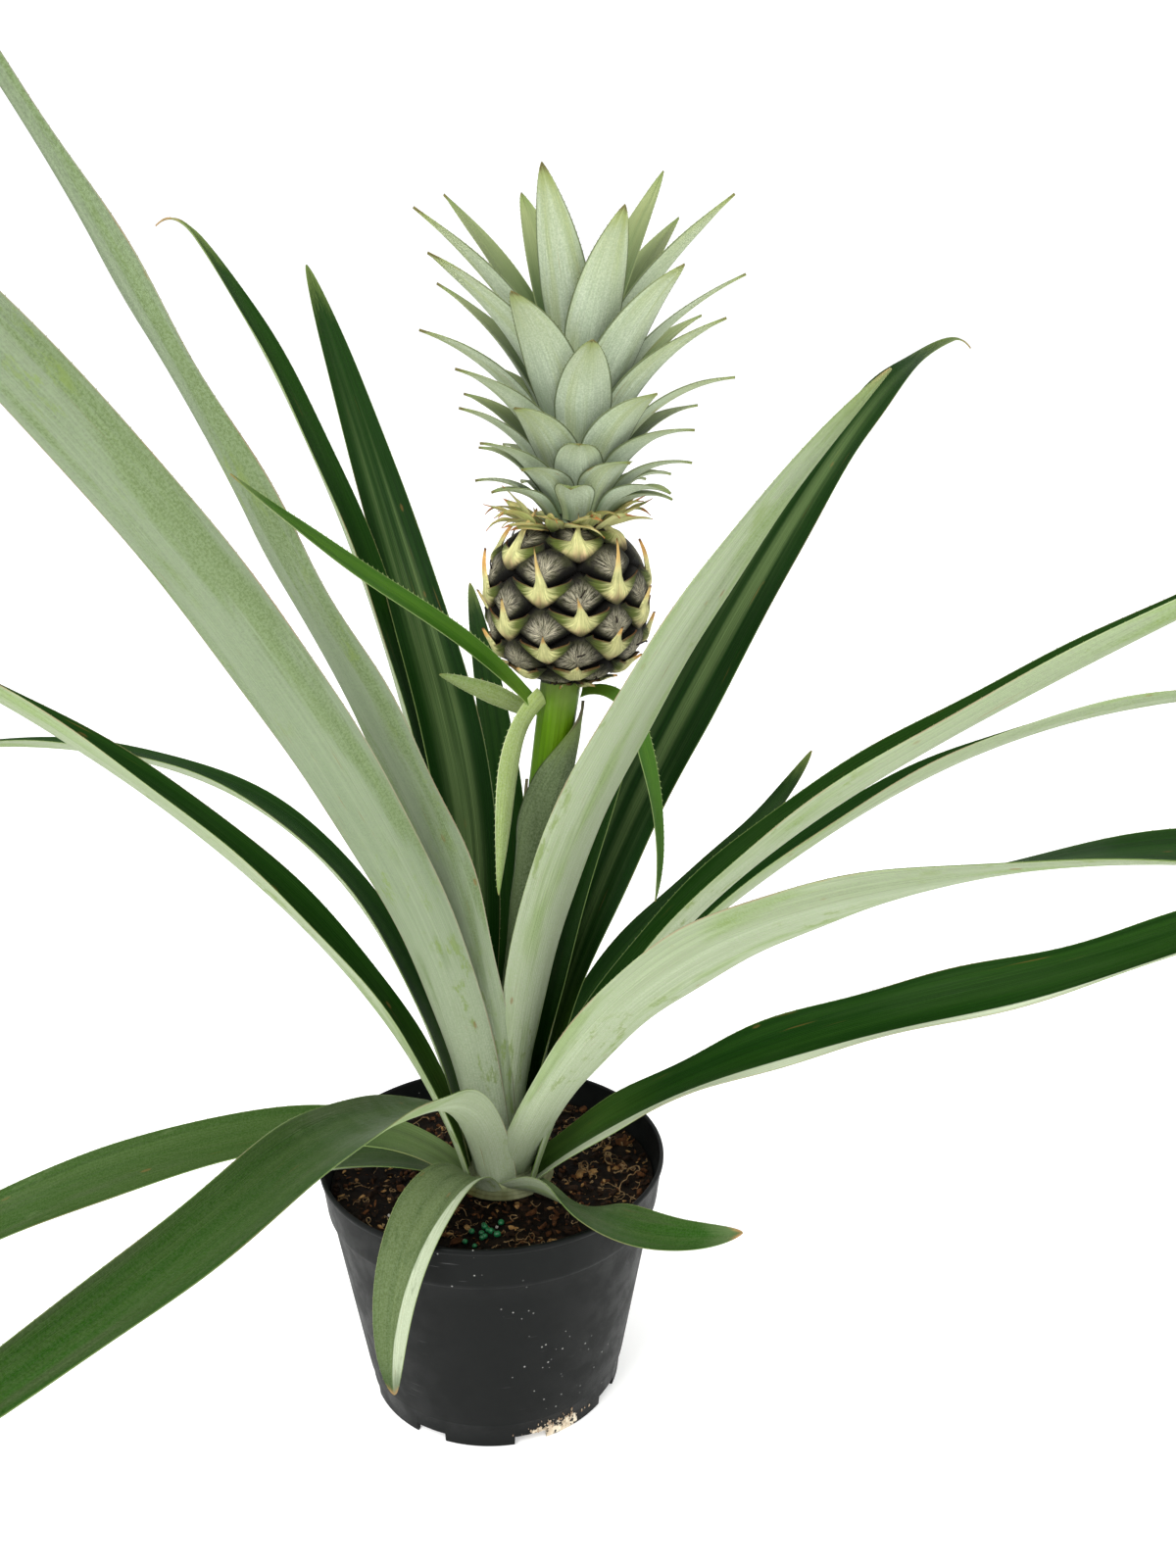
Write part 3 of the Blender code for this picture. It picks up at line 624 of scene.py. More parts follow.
UPPER = dict(lines=62.0, drift=7.0, margin=(0.20, 0.28, 0.09), margin_width=0.012, margin_strength=0.5,
             rust=0.5, roughness=0.44, scars=0.35, midrib=0.04, dry=(0.36, 0.22, 0.09), foot_reach=0.20)
DEEP = dict(foot=(0.055, 0.115, 0.018), main=(0.0040, 0.027, 0.0010), top=(0.0080, 0.036, 0.0020), **UPPER)
LOWER = dict(lines=60.0, drift=9.0, margin_width=0.020, margin_strength=0.75, rust=0.85, roughness=0.62,
             specular=0.14, rubs=0.70, patches=0.70, scurf=0.50, grain=1250.0, dry=(0.42, 0.28, 0.13))
FINISHES = (
    BladeFinish(Tone.DEEP.value, stripe=(0.020, 0.066, 0.006), fine=0.55, broad=0.40, patches=0.30,
                patch=(0.024, 0.058, 0.012), specular=0.045, **DEEP),
    # Pale broad streaks over the deep green: painted sheen.
    BladeFinish(Tone.SHEEN_STREAKED.value, stripe=(0.140, 0.215, 0.075), fine=0.80, broad=0.85, gathered_sheen=True,
                specular=0.07, **DEEP),
    BladeFinish(Tone.FRESH.value, foot=(0.16, 0.23, 0.085), main=(0.020, 0.060, 0.003),
                stripe=(0.058, 0.098, 0.024), top=(0.014, 0.074, 0.001), fine=0.45, broad=0.45, rubs=0.30,
                mark=(0.12, 0.17, 0.07), specular=0.08, patches=0.55, patch=(0.062, 0.088, 0.034), scurf=0.18,
                scurf_colour=(0.12, 0.17, 0.08), **UPPER),
    BladeFinish(Tone.DUSTY.value, foot=(0.22, 0.29, 0.14), main=(0.062, 0.095, 0.028),
                stripe=(0.130, 0.172, 0.068), top=(0.050, 0.092, 0.020), fine=0.60, broad=0.50, rubs=0.3,
                mark=(0.03, 0.06, 0.015), specular=0.09, scurf=0.25, scurf_colour=(0.22, 0.28, 0.16), **UPPER),
    BladeFinish(Underside.PALE.value, foot=(0.43, 0.49, 0.33), main=(0.30, 0.35, 0.22),
                stripe=(0.44, 0.49, 0.36), top=(0.190, 0.235, 0.130), margin=(0.32, 0.38, 0.20),
                foot_reach=0.50, fine=0.42, broad=0.45, patch=(0.19, 0.28, 0.075),
                scurf_colour=(0.26, 0.34, 0.18), **LOWER),
    # A darker, greyer copy of the pale underside: its extra darkness is painted shade.
    BladeFinish(Underside.GREY_SHADED.value, foot=(0.41, 0.47, 0.32), main=(0.195, 0.245, 0.150),
                stripe=(0.30, 0.35, 0.24), top=(0.120, 0.160, 0.085), margin=(0.30, 0.27, 0.18),
                foot_reach=0.34, fine=0.34, broad=0.40, patch=(0.110, 0.170, 0.042),
                scurf_colour=(0.22, 0.29, 0.16), **LOWER),
    # The dark foot is painted shade at the leaves' bases. The dark margin is partly the leaf's own edge and
    # partly painted shade in the gaps between leaves.
    BladeFinish("crown_leaf_outer", foot=(0.13, 0.20, 0.10), main=(0.58, 0.67, 0.51),
                stripe=(0.70, 0.77, 0.62), top=(0.46, 0.52, 0.25), margin=(0.075, 0.10, 0.035),
                mark=(0.30, 0.36, 0.10), dry=(0.17, 0.15, 0.055), lines=42.0, drift=40.0, fine=0.34,
                margin_width=0.042, margin_strength=0.85, roughness=0.62, specular=0.12, rubs=0.12, scurf=0.50,
                scurf_colour=(0.27, 0.36, 0.21), scars=0.8, scar=(0.30, 0.17, 0.05), patch=(0.44, 0.50, 0.20),
                patches=0.50, foot_reach=0.50),
    BladeFinish("crown_leaf_inner", foot=(0.020, 0.050, 0.010), main=(0.050, 0.088, 0.026),
                stripe=(0.14, 0.19, 0.075), top=(0.30, 0.35, 0.15), margin=(0.26, 0.30, 0.14),
                dry=(0.15, 0.13, 0.045), lines=46.0, drift=30.0, specular=0.12, margin_strength=0.4),
    BladeFinish("stalk_bract_upper", foot=(0.13, 0.26, 0.02), main=(0.028, 0.100, 0.003),
                stripe=(0.07, 0.17, 0.012), top=(0.032, 0.095, 0.005), margin=(0.30, 0.38, 0.15), lines=26.0,
                drift=20.0, fine=0.35, margin_strength=0.5, margin_width=0.03, roughness=0.42, specular=0.18,
                scars=0.1),
    BladeFinish("stalk_bract_lower", foot=(0.34, 0.46, 0.09), main=(0.19, 0.27, 0.055),
                stripe=(0.38, 0.45, 0.18), top=(0.16, 0.25, 0.05), margin=(0.50, 0.54, 0.32), lines=24.0,
                drift=20.0, fine=0.45, roughness=0.58, specular=0.12, scurf=0.2, scars=0.1, patches=0.4),
    BladeFinish("stalk_sheath_skin", foot=(0.12, 0.18, 0.06), main=(0.038, 0.068, 0.014),
                stripe=(0.16, 0.22, 0.09), top=(0.030, 0.050, 0.014), margin=(0.020, 0.028, 0.010), lines=22.0,
                drift=12.0, fine=0.5, dry=(0.10, 0.09, 0.05), roughness=0.62, specular=0.16, scurf=0.45,
                grain=1300.0, scurf_colour=(0.20, 0.26, 0.14), scars=0.2),
    BladeFinish("stalk_skin", foot=(0.16, 0.25, 0.04), main=(0.026, 0.100, 0.0008),
                stripe=(0.085, 0.210, 0.002), top=(0.085, 0.175, 0.002), margin_strength=0.0, lines=46.0,
                drift=7.0, fine=0.40, broad=0.8, roughness=0.40, specular=0.12, scars=0.1),
    BladeFinish("dried_scale", foot=(0.10, 0.13, 0.035), main=(0.36, 0.40, 0.13), stripe=(0.60, 0.58, 0.27),
                top=(0.50, 0.40, 0.14), margin=(0.26, 0.15, 0.05), broad=0.8, foot_reach=0.45, lines=12.0,
                drift=60.0, fine=0.40, roughness=0.65, specular=0.16, scars=0.8, dry=(0.34, 0.15, 0.045)),
    BladeFinish("stem_skin", foot=(0.085, 0.085, 0.025), main=(0.30, 0.35, 0.18), stripe=(0.40, 0.43, 0.26),
                top=(0.36, 0.42, 0.23), foot_reach=0.50, margin_strength=0.0, lines=90.0, drift=60.0,
                roughness=0.7, specular=0.16, scars=0.8, patches=0.4, patch=(0.14, 0.12, 0.05)),
    CrumbFinish("strap_leaf_tooth", (0.16, 0.22, 0.06), (0.30, 0.32, 0.14), size=900.0, roughness=0.55),
    CrumbFinish("leaf_tooth", (0.10, 0.11, 0.03), (0.20, 0.20, 0.06), size=900.0, roughness=0.55),
    PlasticFinish("black_polypropylene"),
    CrumbFinish("peat", (0.0022, 0.0014, 0.0008), (0.016, 0.009, 0.004), size=330.0, specular=0.1),
    CrumbFinish("bark_dark", (0.008, 0.004, 0.002), (0.050, 0.024, 0.010), size=420.0, specular=0.12),
    CrumbFinish("bark_red", (0.040, 0.015, 0.005), (0.17, 0.07, 0.024), size=420.0, specular=0.12),
    CrumbFinish("bark_tan", (0.20, 0.10, 0.032), (0.56, 0.36, 0.15), size=420.0, specular=0.12),
    CrumbFinish("root_fibre", (0.13, 0.070, 0.025), (0.46, 0.33, 0.17), size=500.0, roughness=0.75),
    CrumbFinish("perlite", (0.42, 0.40, 0.35), (0.72, 0.70, 0.64), size=600.0),
    CrumbFinish("feed_prill", (0.002, 0.075, 0.022), (0.010, 0.22, 0.075), size=500.0, roughness=0.4,
                specular=0.5, relief=0.0001),
    CrumbFinish("mineral_crust", (0.30, 0.20, 0.12), (0.66, 0.56, 0.42), size=700.0, cover=0.9),
    EyeFinish("fruit_eye_skin"),
    ShieldFinish("fruit_bract"),
    CrumbFinish("dried_flower", (0.006, 0.005, 0.004), (0.06, 0.035, 0.02), size=700.0, roughness=0.6),
    StudioFinish("studio_white"))


# Meshes


AXIS_GAP = 0.0002
MERGE_GAP = 1e-6
SLANTED = np.array([0.31, 0.87, 0.38])
ACROSS = np.array([1.0, 0.0, 0.0])


class Draws(Enum):
    """Where the random draws of each loose lot start."""
    MINERAL = 61
    LITTER = 17
    PERLITE = 23
    STRANDS = 5
    PRILLS = 8
    EYES = 3
    SHIELDS = 12
    REMNANTS = 29
    SCALES = 44

    def start(self) -> np.random.Generator:
        """Starts the draws."""
        return np.random.default_rng(self.value)


def ring_angles(sides: int) -> Array:
    """Gives evenly spaced angles once round, in radians."""
    return np.linspace(0, 2 * np.pi, sides, endpoint=False)


def layout(*values: Array) -> Array:
    """Joins numbers to points or to a map, where each is a grid, one row or one column."""
    return np.stack(np.broadcast_arrays(*values), -1)


def read_rows(place: float | Array, share: Array, rows: Array) -> Array:
    """Reads vectors between the rows where they are known.

    Args:
        place: where to read them, as a share of the length.
        share: the rows' own places.
        rows: the vectors, row by row.

    Returns:
        The vector at each place.
    """
    return np.stack([np.interp(place, share, column) for column in rows.T], -1)


def put(name: str, data: bpy.types.ID) -> bpy.types.Object:
    """Puts a mesh, a light or a camera in the scene.

    Args:
        name: its name.
        data: the mesh, light or camera.

    Returns:
        The object.
    """
    made = bpy.data.objects.new(name, data)
    bpy.context.scene.collection.objects.link(made)
    return made


def soften(mesh: bpy.types.Mesh, sharp: float) -> None:
    """Shades a mesh smooth, except for edges above an angle in degrees."""
    mesh.shade_smooth()
    mesh.set_sharp_from_angle(angle=math.radians(sharp))


class MeshDraft:
    """Gathers points, faces and surface maps, then makes one piece."""

    def __init__(self) -> None:
        """Starts empty."""
        self.points: list[Array] = []
        self.maps: dict[Coordinate, list[Array]] = {coordinate: [] for coordinate in Coordinate}
        self.faces: list[tuple[int, ...]] = []
        self.slots: list[int] = []
        self.count = 0

    def add_points(self, points: Array, blade: Array | None = None,
                   life: Array | None = None, pale: Array | None = None) -> int:
        """Adds points.

        Args:
            points: rows of X, Y, Z.
            blade: across and along for each point.
            life: share and dryness for each point.
            pale: how far each point shows the pale skin of the other face, from 0 to 1.

        Returns:
            The first point's number.
        """
        points = points.reshape(-1, 3)
        empty = np.full((len(points), 2), 0.5)
        shown = np.zeros(len(points)) if pale is None else pale.ravel()
        self.points.append(points)
        self.maps[Coordinate.BLADE].append(empty if blade is None else blade.reshape(-1, 2))
        self.maps[Coordinate.LIFE].append(empty if life is None else life.reshape(-1, 2))
        self.maps[Coordinate.SKIN].append(layout(shown, np.zeros(len(points))))
        first = self.count
        self.count += len(points)
        return first

    def add_face(self, corners: Iterable[int], slot: int = 0) -> None:
        """Adds one face of a finish slot."""
        self.faces.append(tuple(corners))
        self.slots.append(slot)

    def add_grid(self, first: int, rows: int, columns: int, slot: int = 0, closed: bool = False) -> None:
        """Adds the quads of a grid of points, row by row.

        Args:
            first: the first point's number.
            rows: how many rows the grid has.
            columns: how many points a row has.
            slot: the finish slot.
            closed: whether each row is a ring.
        """
        for row in range(rows - 1):
            start = first + row * columns
            for column in range(columns if closed else columns - 1):
                beside = (column + 1) % columns
                self.add_face((start + column, start + beside, start + columns + beside,
                               start + columns + column), slot)

    def add_tube(self, rings: Array, blade: Array | None = None, life: Array | None = None,
                 slot: int = 0) -> None:
        """Adds a closed tube through rings of equally many points.

        Args:
            rings: points by ring, side and axis.
            blade: the blade map, by ring and side.
            life: the life map, by ring and side.
            slot: the finish slot.
        """
        count, sides, _ = rings.shape
        first = self.add_points(rings, blade, life)
        self.add_grid(first, count, sides, slot, closed=True)
        self.add_face(range(first, first + sides), slot)
        self.add_face(range(first + (count - 1) * sides, first + count * sides), slot)

    def add_sheet(self, upper: Array, lower: Array, blade: Array, life: Array,
                  pale: Array | None = None) -> None:
        """Adds a thin sheet: slot 0 is its upper face and its long edges, slot 1 its lower face and its ends.

        Args:
            upper: the upper face's points, by row, column and axis.
            lower: the lower face's points.
            blade: the blade map, by row and column.
            life: the life map, by row and column.
            pale: how far the upper face shows the pale skin of the lower one.
        """
        rows, columns, _ = upper.shape
        above = self.add_points(upper, blade, life, pale)
        self.add_grid(above, rows, columns, 0)
        below = self.add_points(lower, blade, life)
        self.add_grid(below, rows, columns, 1)
        sides = [(row * columns + column, columns, 0) for row in range(rows - 1) for column in (0, columns - 1)]
        ends = [(row * columns + column, 1, 1) for row in (0, rows - 1) for column in range(columns - 1)]
        for corner, step, slot in sides + ends:
            self.add_face((above + corner, below + corner, below + corner + step, above + corner + step), slot)

    def finish(self, name: str, *finishes: str, sharp: float = 40.0) -> bpy.types.Object:
        """Makes the piece.

        Args:
            name: the piece's name.
            *finishes: the names of its finishes, by slot.
            sharp: the angle above which an edge stays sharp.

        Returns:
            The object.
        """
        mesh = bpy.data.meshes.new(name)
        mesh.from_pydata(np.concatenate(self.points).tolist(), [], self.faces)
        corners = np.empty(len(mesh.loops), np.int32)
        mesh.loops.foreach_get("vertex_index", corners)
        for coordinate, blocks in self.maps.items():
            layer = mesh.uv_layers.new(name=coordinate.value)
            layer.data.foreach_set("uv", np.concatenate(blocks)[corners].astype(np.float32).ravel())
        mesh.polygons.foreach_set("material_index", np.array(self.slots, np.int32))
        for finish in finishes:
            mesh.materials.append(bpy.data.materials[finish])
        shell = bmesh.new()
        shell.from_mesh(mesh)
        bmesh.ops.recalc_face_normals(shell, faces=shell.faces)
        shell.to_mesh(mesh)
        shell.free()
        soften(mesh, sharp)
        return put(name, mesh)


def hand_over(piece: bpy.types.Object, slot: str, *nodes: str) -> None:
    """Lets a piece ride on the plant and stand for its solids.

    Args:
        piece: the piece.
        slot: the record's material slot; not used.
        *nodes: the solids that it stands for.
    """
    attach(piece, BODY)
    if nodes:
        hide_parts(*nodes)
    LOG.info("piece %s, %d faces", piece.name, len(piece.data.polygons))


def lathe_rings(profile: Sequence[Pair], sides: int, centre: Pair = (0.0, 0.0)) -> Array:
    """Turns radius and height pairs into rings.

    Args:
        profile: radius and height, from one end to the other.
        sides: points in a ring.
        centre: X and Y of the axis.

    Returns:
        The rings.
    """
    angles = ring_angles(sides)
    radius, height = np.array(profile).T[..., None]
    return layout(centre[0] + radius * np.cos(angles), centre[1] + radius * np.sin(angles), height)


def lathe_map(profile: Sequence[Pair], sides: int) -> Array:
    """Gives a turned piece's blade map: once across in a turn, and its height along."""
    return layout(np.linspace(0, 1, sides)[None], np.array(profile)[:, 1:])


def tube_rings(path: Array, radii: Array, sides: int) -> Array:
    """Makes rings along a path.

    Args:
        path: points along the middle.
        radii: the radius at each point.
        sides: points in a ring.

    Returns:
        The rings.
    """
    along = np.gradient(path, axis=0)
    along /= np.linalg.norm(along, axis=1)[:, None]
    side = np.cross(along, SLANTED if abs(along[0] @ SLANTED) < 0.9 else ACROSS)
    side /= np.linalg.norm(side, axis=1)[:, None]
    other = np.cross(along, side)
    angles = ring_angles(sides)[:, None]
    spread = side[:, None] * np.cos(angles) + other[:, None] * np.sin(angles)
    return path[:, None] + spread * radii[:, None, None]


# Blades


LAST_ROW = 0.9985
LAST_TOOTH = 0.985
THREAD_WIDTH = 0.11
PALE_FOOT_EDGE = 7.0
PALE_SIDE_EDGE = 5.0


def smoothed(stations: Sequence[float], share: Array) -> Array:
    """Draws a smooth curve through evenly spaced values.

    Args:
        stations: the values.
        share: where to read the curve, from 0 to 1.

    Returns:
        The curve's values.
    """
    values = np.asarray(stations, float)
    last = len(values) - 1
    place = np.clip(share, 0, 1) * last
    i = np.minimum(place.astype(int), last - 1)
    u = place - i
    here, after = values[i], values[i + 1]
    before = np.where(i > 0, values[np.maximum(i - 1, 0)], 2 * here - after)
    beyond = np.where(i < last - 1, values[np.minimum(i + 2, last)], 2 * after - here)
    start, end = (after - before) / 2, (beyond - here) / 2
    return ((2 * u**3 - 3 * u**2 + 1) * here + (u**3 - 2 * u**2 + u) * start
            + (3 * u**2 - 2 * u**3) * after + (u**3 - u**2) * end)


@dataclass(frozen=True)
class Posture:
    """How one blade stands. Angles in degrees, evenly spaced from base to tip."""
    name: str
    ring: float
    length: float
    width: float
    rise: Row
    heading: Row
    roll: Row
    fold: float = 75.0
    tone: Tone = Tone.DEEP
    underside: Underside = Underside.PALE
    dryness: float = 0.10
    wave: float = 0.00042
    hook: float = 0.0
    hook_share: float = 0.06
    tail: float = 0.0
    pale_foot: float = 0.0
    pale_side: float = 1.5
    pale_slant: float = 0.0

    def paleness(self, share: Array, u: Array) -> Array:
        """Gives where the upper face shows the pale skin.

        Args:
            share: the rows' places along the blade.
            u: the columns' places across, from -1 to 1.

        Returns:
            The paleness at each point, 0.5 at its boundary.
        """
        if self.pale_foot:
            inside = (self.pale_foot + self.pale_slant * u - share) * PALE_FOOT_EDGE
        else:
            across = math.copysign(1.0, self.pale_side) * u - abs(self.pale_side)
            inside = (across + self.pale_slant * (share - 0.5)) * PALE_SIDE_EDGE
        return np.clip(inside + 0.5, 0, 1)

    def spine(self, foot: Sequence[float], share: Array) -> list[Array]:
        """Works out the blade's middle line.

        Args:
            foot: the place on the axis that it grows round, level with its base.
            share: the rows' places along the blade.

        Returns:
            At each row, the place, and the directions along, across and out of the upper face.
        """
        fine = np.linspace(0, 1, 401)
        rise, heading, roll = (np.radians(smoothed(stations, fine))
                               for stations in (self.rise, self.heading, self.roll))
        rise -= math.radians(self.hook) * np.clip((fine - 1) / self.hook_share + 1, 0, 1) ** 1.3
        along = layout(np.cos(rise) * np.cos(heading), np.cos(rise) * np.sin(heading), np.sin(rise))
        up = layout(-np.sin(rise) * np.cos(heading), -np.sin(rise) * np.sin(heading), np.cos(rise))
        flat = layout(np.sin(heading), -np.cos(heading), 0 * heading)
        turned, upright = np.sin(roll)[:, None], np.cos(roll)[:, None]
        steps = np.cumsum((along[1:] + along[:-1]) / 2 * self.length / (len(fine) - 1), 0)
        start = foot + self.ring * np.array([math.cos(heading[0]), math.sin(heading[0]), 0.0])
        path = start + np.concatenate([np.zeros((1, 3)), steps])
        return [read_rows(share, fine, rows)[:, None]
                for rows in (path, along, upright * flat + turned * up, upright * up - turned * flat)]


@dataclass(frozen=True)
class BladeForm:
    """The section and outline that a kind of blade shares."""
    rows: int
    columns: int
    thickness: float
    edge: float
    base_share: float
    widest: float
    sheath: float
    teeth_from: float = 1.0
    tooth_gap: float = 0.0016
    tooth_length: float = 0.0007
    wave_length: float = 0.085
    point: float = 0.62
    keel: float = 0.0
    tip_fold: float = 1.0

    def outline(self, share: Array, tail: float) -> Array:
        """Gives the width along a blade, as a share of its full width.

        Args:
            share: the places along the blade.
            tail: the share of its length that is a thread-like tip.

        Returns:
            The widths.
        """
        share = share / (1 - tail)
        swell = 0.5 - 0.5 * np.cos(np.pi * np.clip(share / self.widest, 0, 1))
        rise = self.base_share + (1 - self.base_share) * swell
        t = np.clip((share - self.widest) / (1 - self.widest), 0, 1)
        body = rise * np.clip(1 - t**1.9, 0, 1) ** self.point * (1 - 0.25 * t)
        thread = THREAD_WIDTH * np.clip((1 / (1 - tail) - share) * 20, 0, 1)
        return np.maximum(body, thread) if tail else body

    def bend(self, posture: Posture, share: Array) -> Array:
        """Gives how far the section curls: round the axis at the foot, then to the blade's own fold.

        Args:
            posture: how the blade stands.
            share: the places along it.

        Returns:
            The curl from edge to edge, in radians.
        """
        free = np.clip(share * posture.length / self.sheath, 0, 1)
        free = free * free * (3 - 2 * free)
        fold = math.radians(posture.fold) * (1 + (self.tip_fold - 1) * share**2)
        base = posture.width * self.outline(share[0, 0], posture.tail) / posture.ring
        return base * (1 - free) + fold * free

    def waves(self, posture: Posture, share: Array, u: Array, seed: int) -> Array:
        """Gives how far the edges wave up and down.

        Args:
            posture: how the blade stands.
            share: the places along it.
            u: the places across, from -1 to 1.
            seed: a number that shifts the waves.

        Returns:
            The lift at each point, in metres.
        """
        phase = 2 * np.pi * share * posture.length / self.wave_length + 1.7 * seed
        calm = np.clip(share / 0.15, 0, 1) * np.clip((1 - share) / 0.2, 0, 1)
        sway = np.sin(phase) * (u > 0) + np.sin(1.13 * phase + 1.3) * (u < 0)
        return posture.wave * calm * sway * np.abs(u) ** 3

    def build(self, draft: MeshDraft, posture: Posture, foot: Sequence[float], seed: int) -> None:
        """Adds a blade: slot 0 is its upper face, slot 1 its lower face, slot 2 its teeth.

        Args:
            draft: the mesh that it goes in.
            posture: how it stands.
            foot: the place on the axis that it grows round, level with its base.
            seed: a number that sets its waves and its place on the maps.
        """
        rows = 1 - (1 - np.linspace(0, 1, self.rows)) ** 1.25
        rows[-1] = LAST_ROW
        path, along, side, normal = posture.spine(foot, rows)
        share, u = rows[:, None], np.linspace(-1, 1, self.columns)[None]
        u = np.sign(u) * np.abs(u) ** 0.85
        bend = self.bend(posture, share)
        radius = posture.width * self.outline(share, posture.tail) / bend
        angle = u * bend / 2
        ridge = self.keel * np.exp(-(u / 0.16) ** 2) * np.clip(share / 0.2, 0, 1)
        above = radius * (1 - np.cos(angle)) + self.waves(posture, share, u, seed) - ridge
        middle = path + side * (radius * np.sin(angle))[..., None] + normal * above[..., None]
        cos, sin = np.cos(angle)[..., None], np.sin(angle)[..., None]
        plump = self.edge + (self.thickness - self.edge) * (1 - np.abs(u) ** 2.5)
        half = (plump / 2 * (1 - 0.45 * share))[..., None] * (normal * cos - side * sin)
        blade = layout((u + 1) / 2, share * posture.length + 3.17 * seed)
        life = layout(share, np.full_like(u, posture.dryness))
        draft.add_sheet(middle + half, middle - half, blade, life, posture.paleness(share, u))
        if self.teeth_from < 1:
            self.add_teeth(draft, posture.length, rows, middle, along[:, 0], side * cos + normal * sin)

    def add_teeth(self, draft: MeshDraft, length: float, share: Array, middle: Array,
                  along: Array, out: Array) -> None:
        """Adds forward-pointing teeth along both margins.

        Args:
            draft: the mesh.
            length: the blade's length.
            share: the rows' places along the blade.
            middle: the blade's middle surface.
            along: the blade's direction at each row.
            out: the direction across the blade at each point.
        """
        count = max(2, int(length * (1 - self.teeth_from) / self.tooth_gap))
        for column, sign in ((0, -1), (self.columns - 1, 1)):
            for k in range(count):
                place = self.teeth_from + (LAST_TOOTH - self.teeth_from) * (k + 0.5 * (sign > 0)) / count
                foot, forward, outward = (read_rows(place, share, rows)
                                          for rows in (middle[:, column], along, sign * out[:, column]))
                thick = np.cross(forward, outward) * self.edge * 0.4
                size = self.tooth_length * (1.25 - 0.5 * place)
                root = foot - outward * 0.25 * size
                reach = forward * 0.45 * size
                tip = foot + forward * 0.9 * size + outward * 0.75 * size
                corners = [root - reach, root + thick, root + reach, root - thick, tip]
                first = draft.add_points(np.array(corners))
                draft.add_face((first + 3, first + 2, first + 1, first), 2)
                for i in range(4):
                    draft.add_face((first + i, first + (i + 1) % 4, first + 4), 2)


# Pot and soil


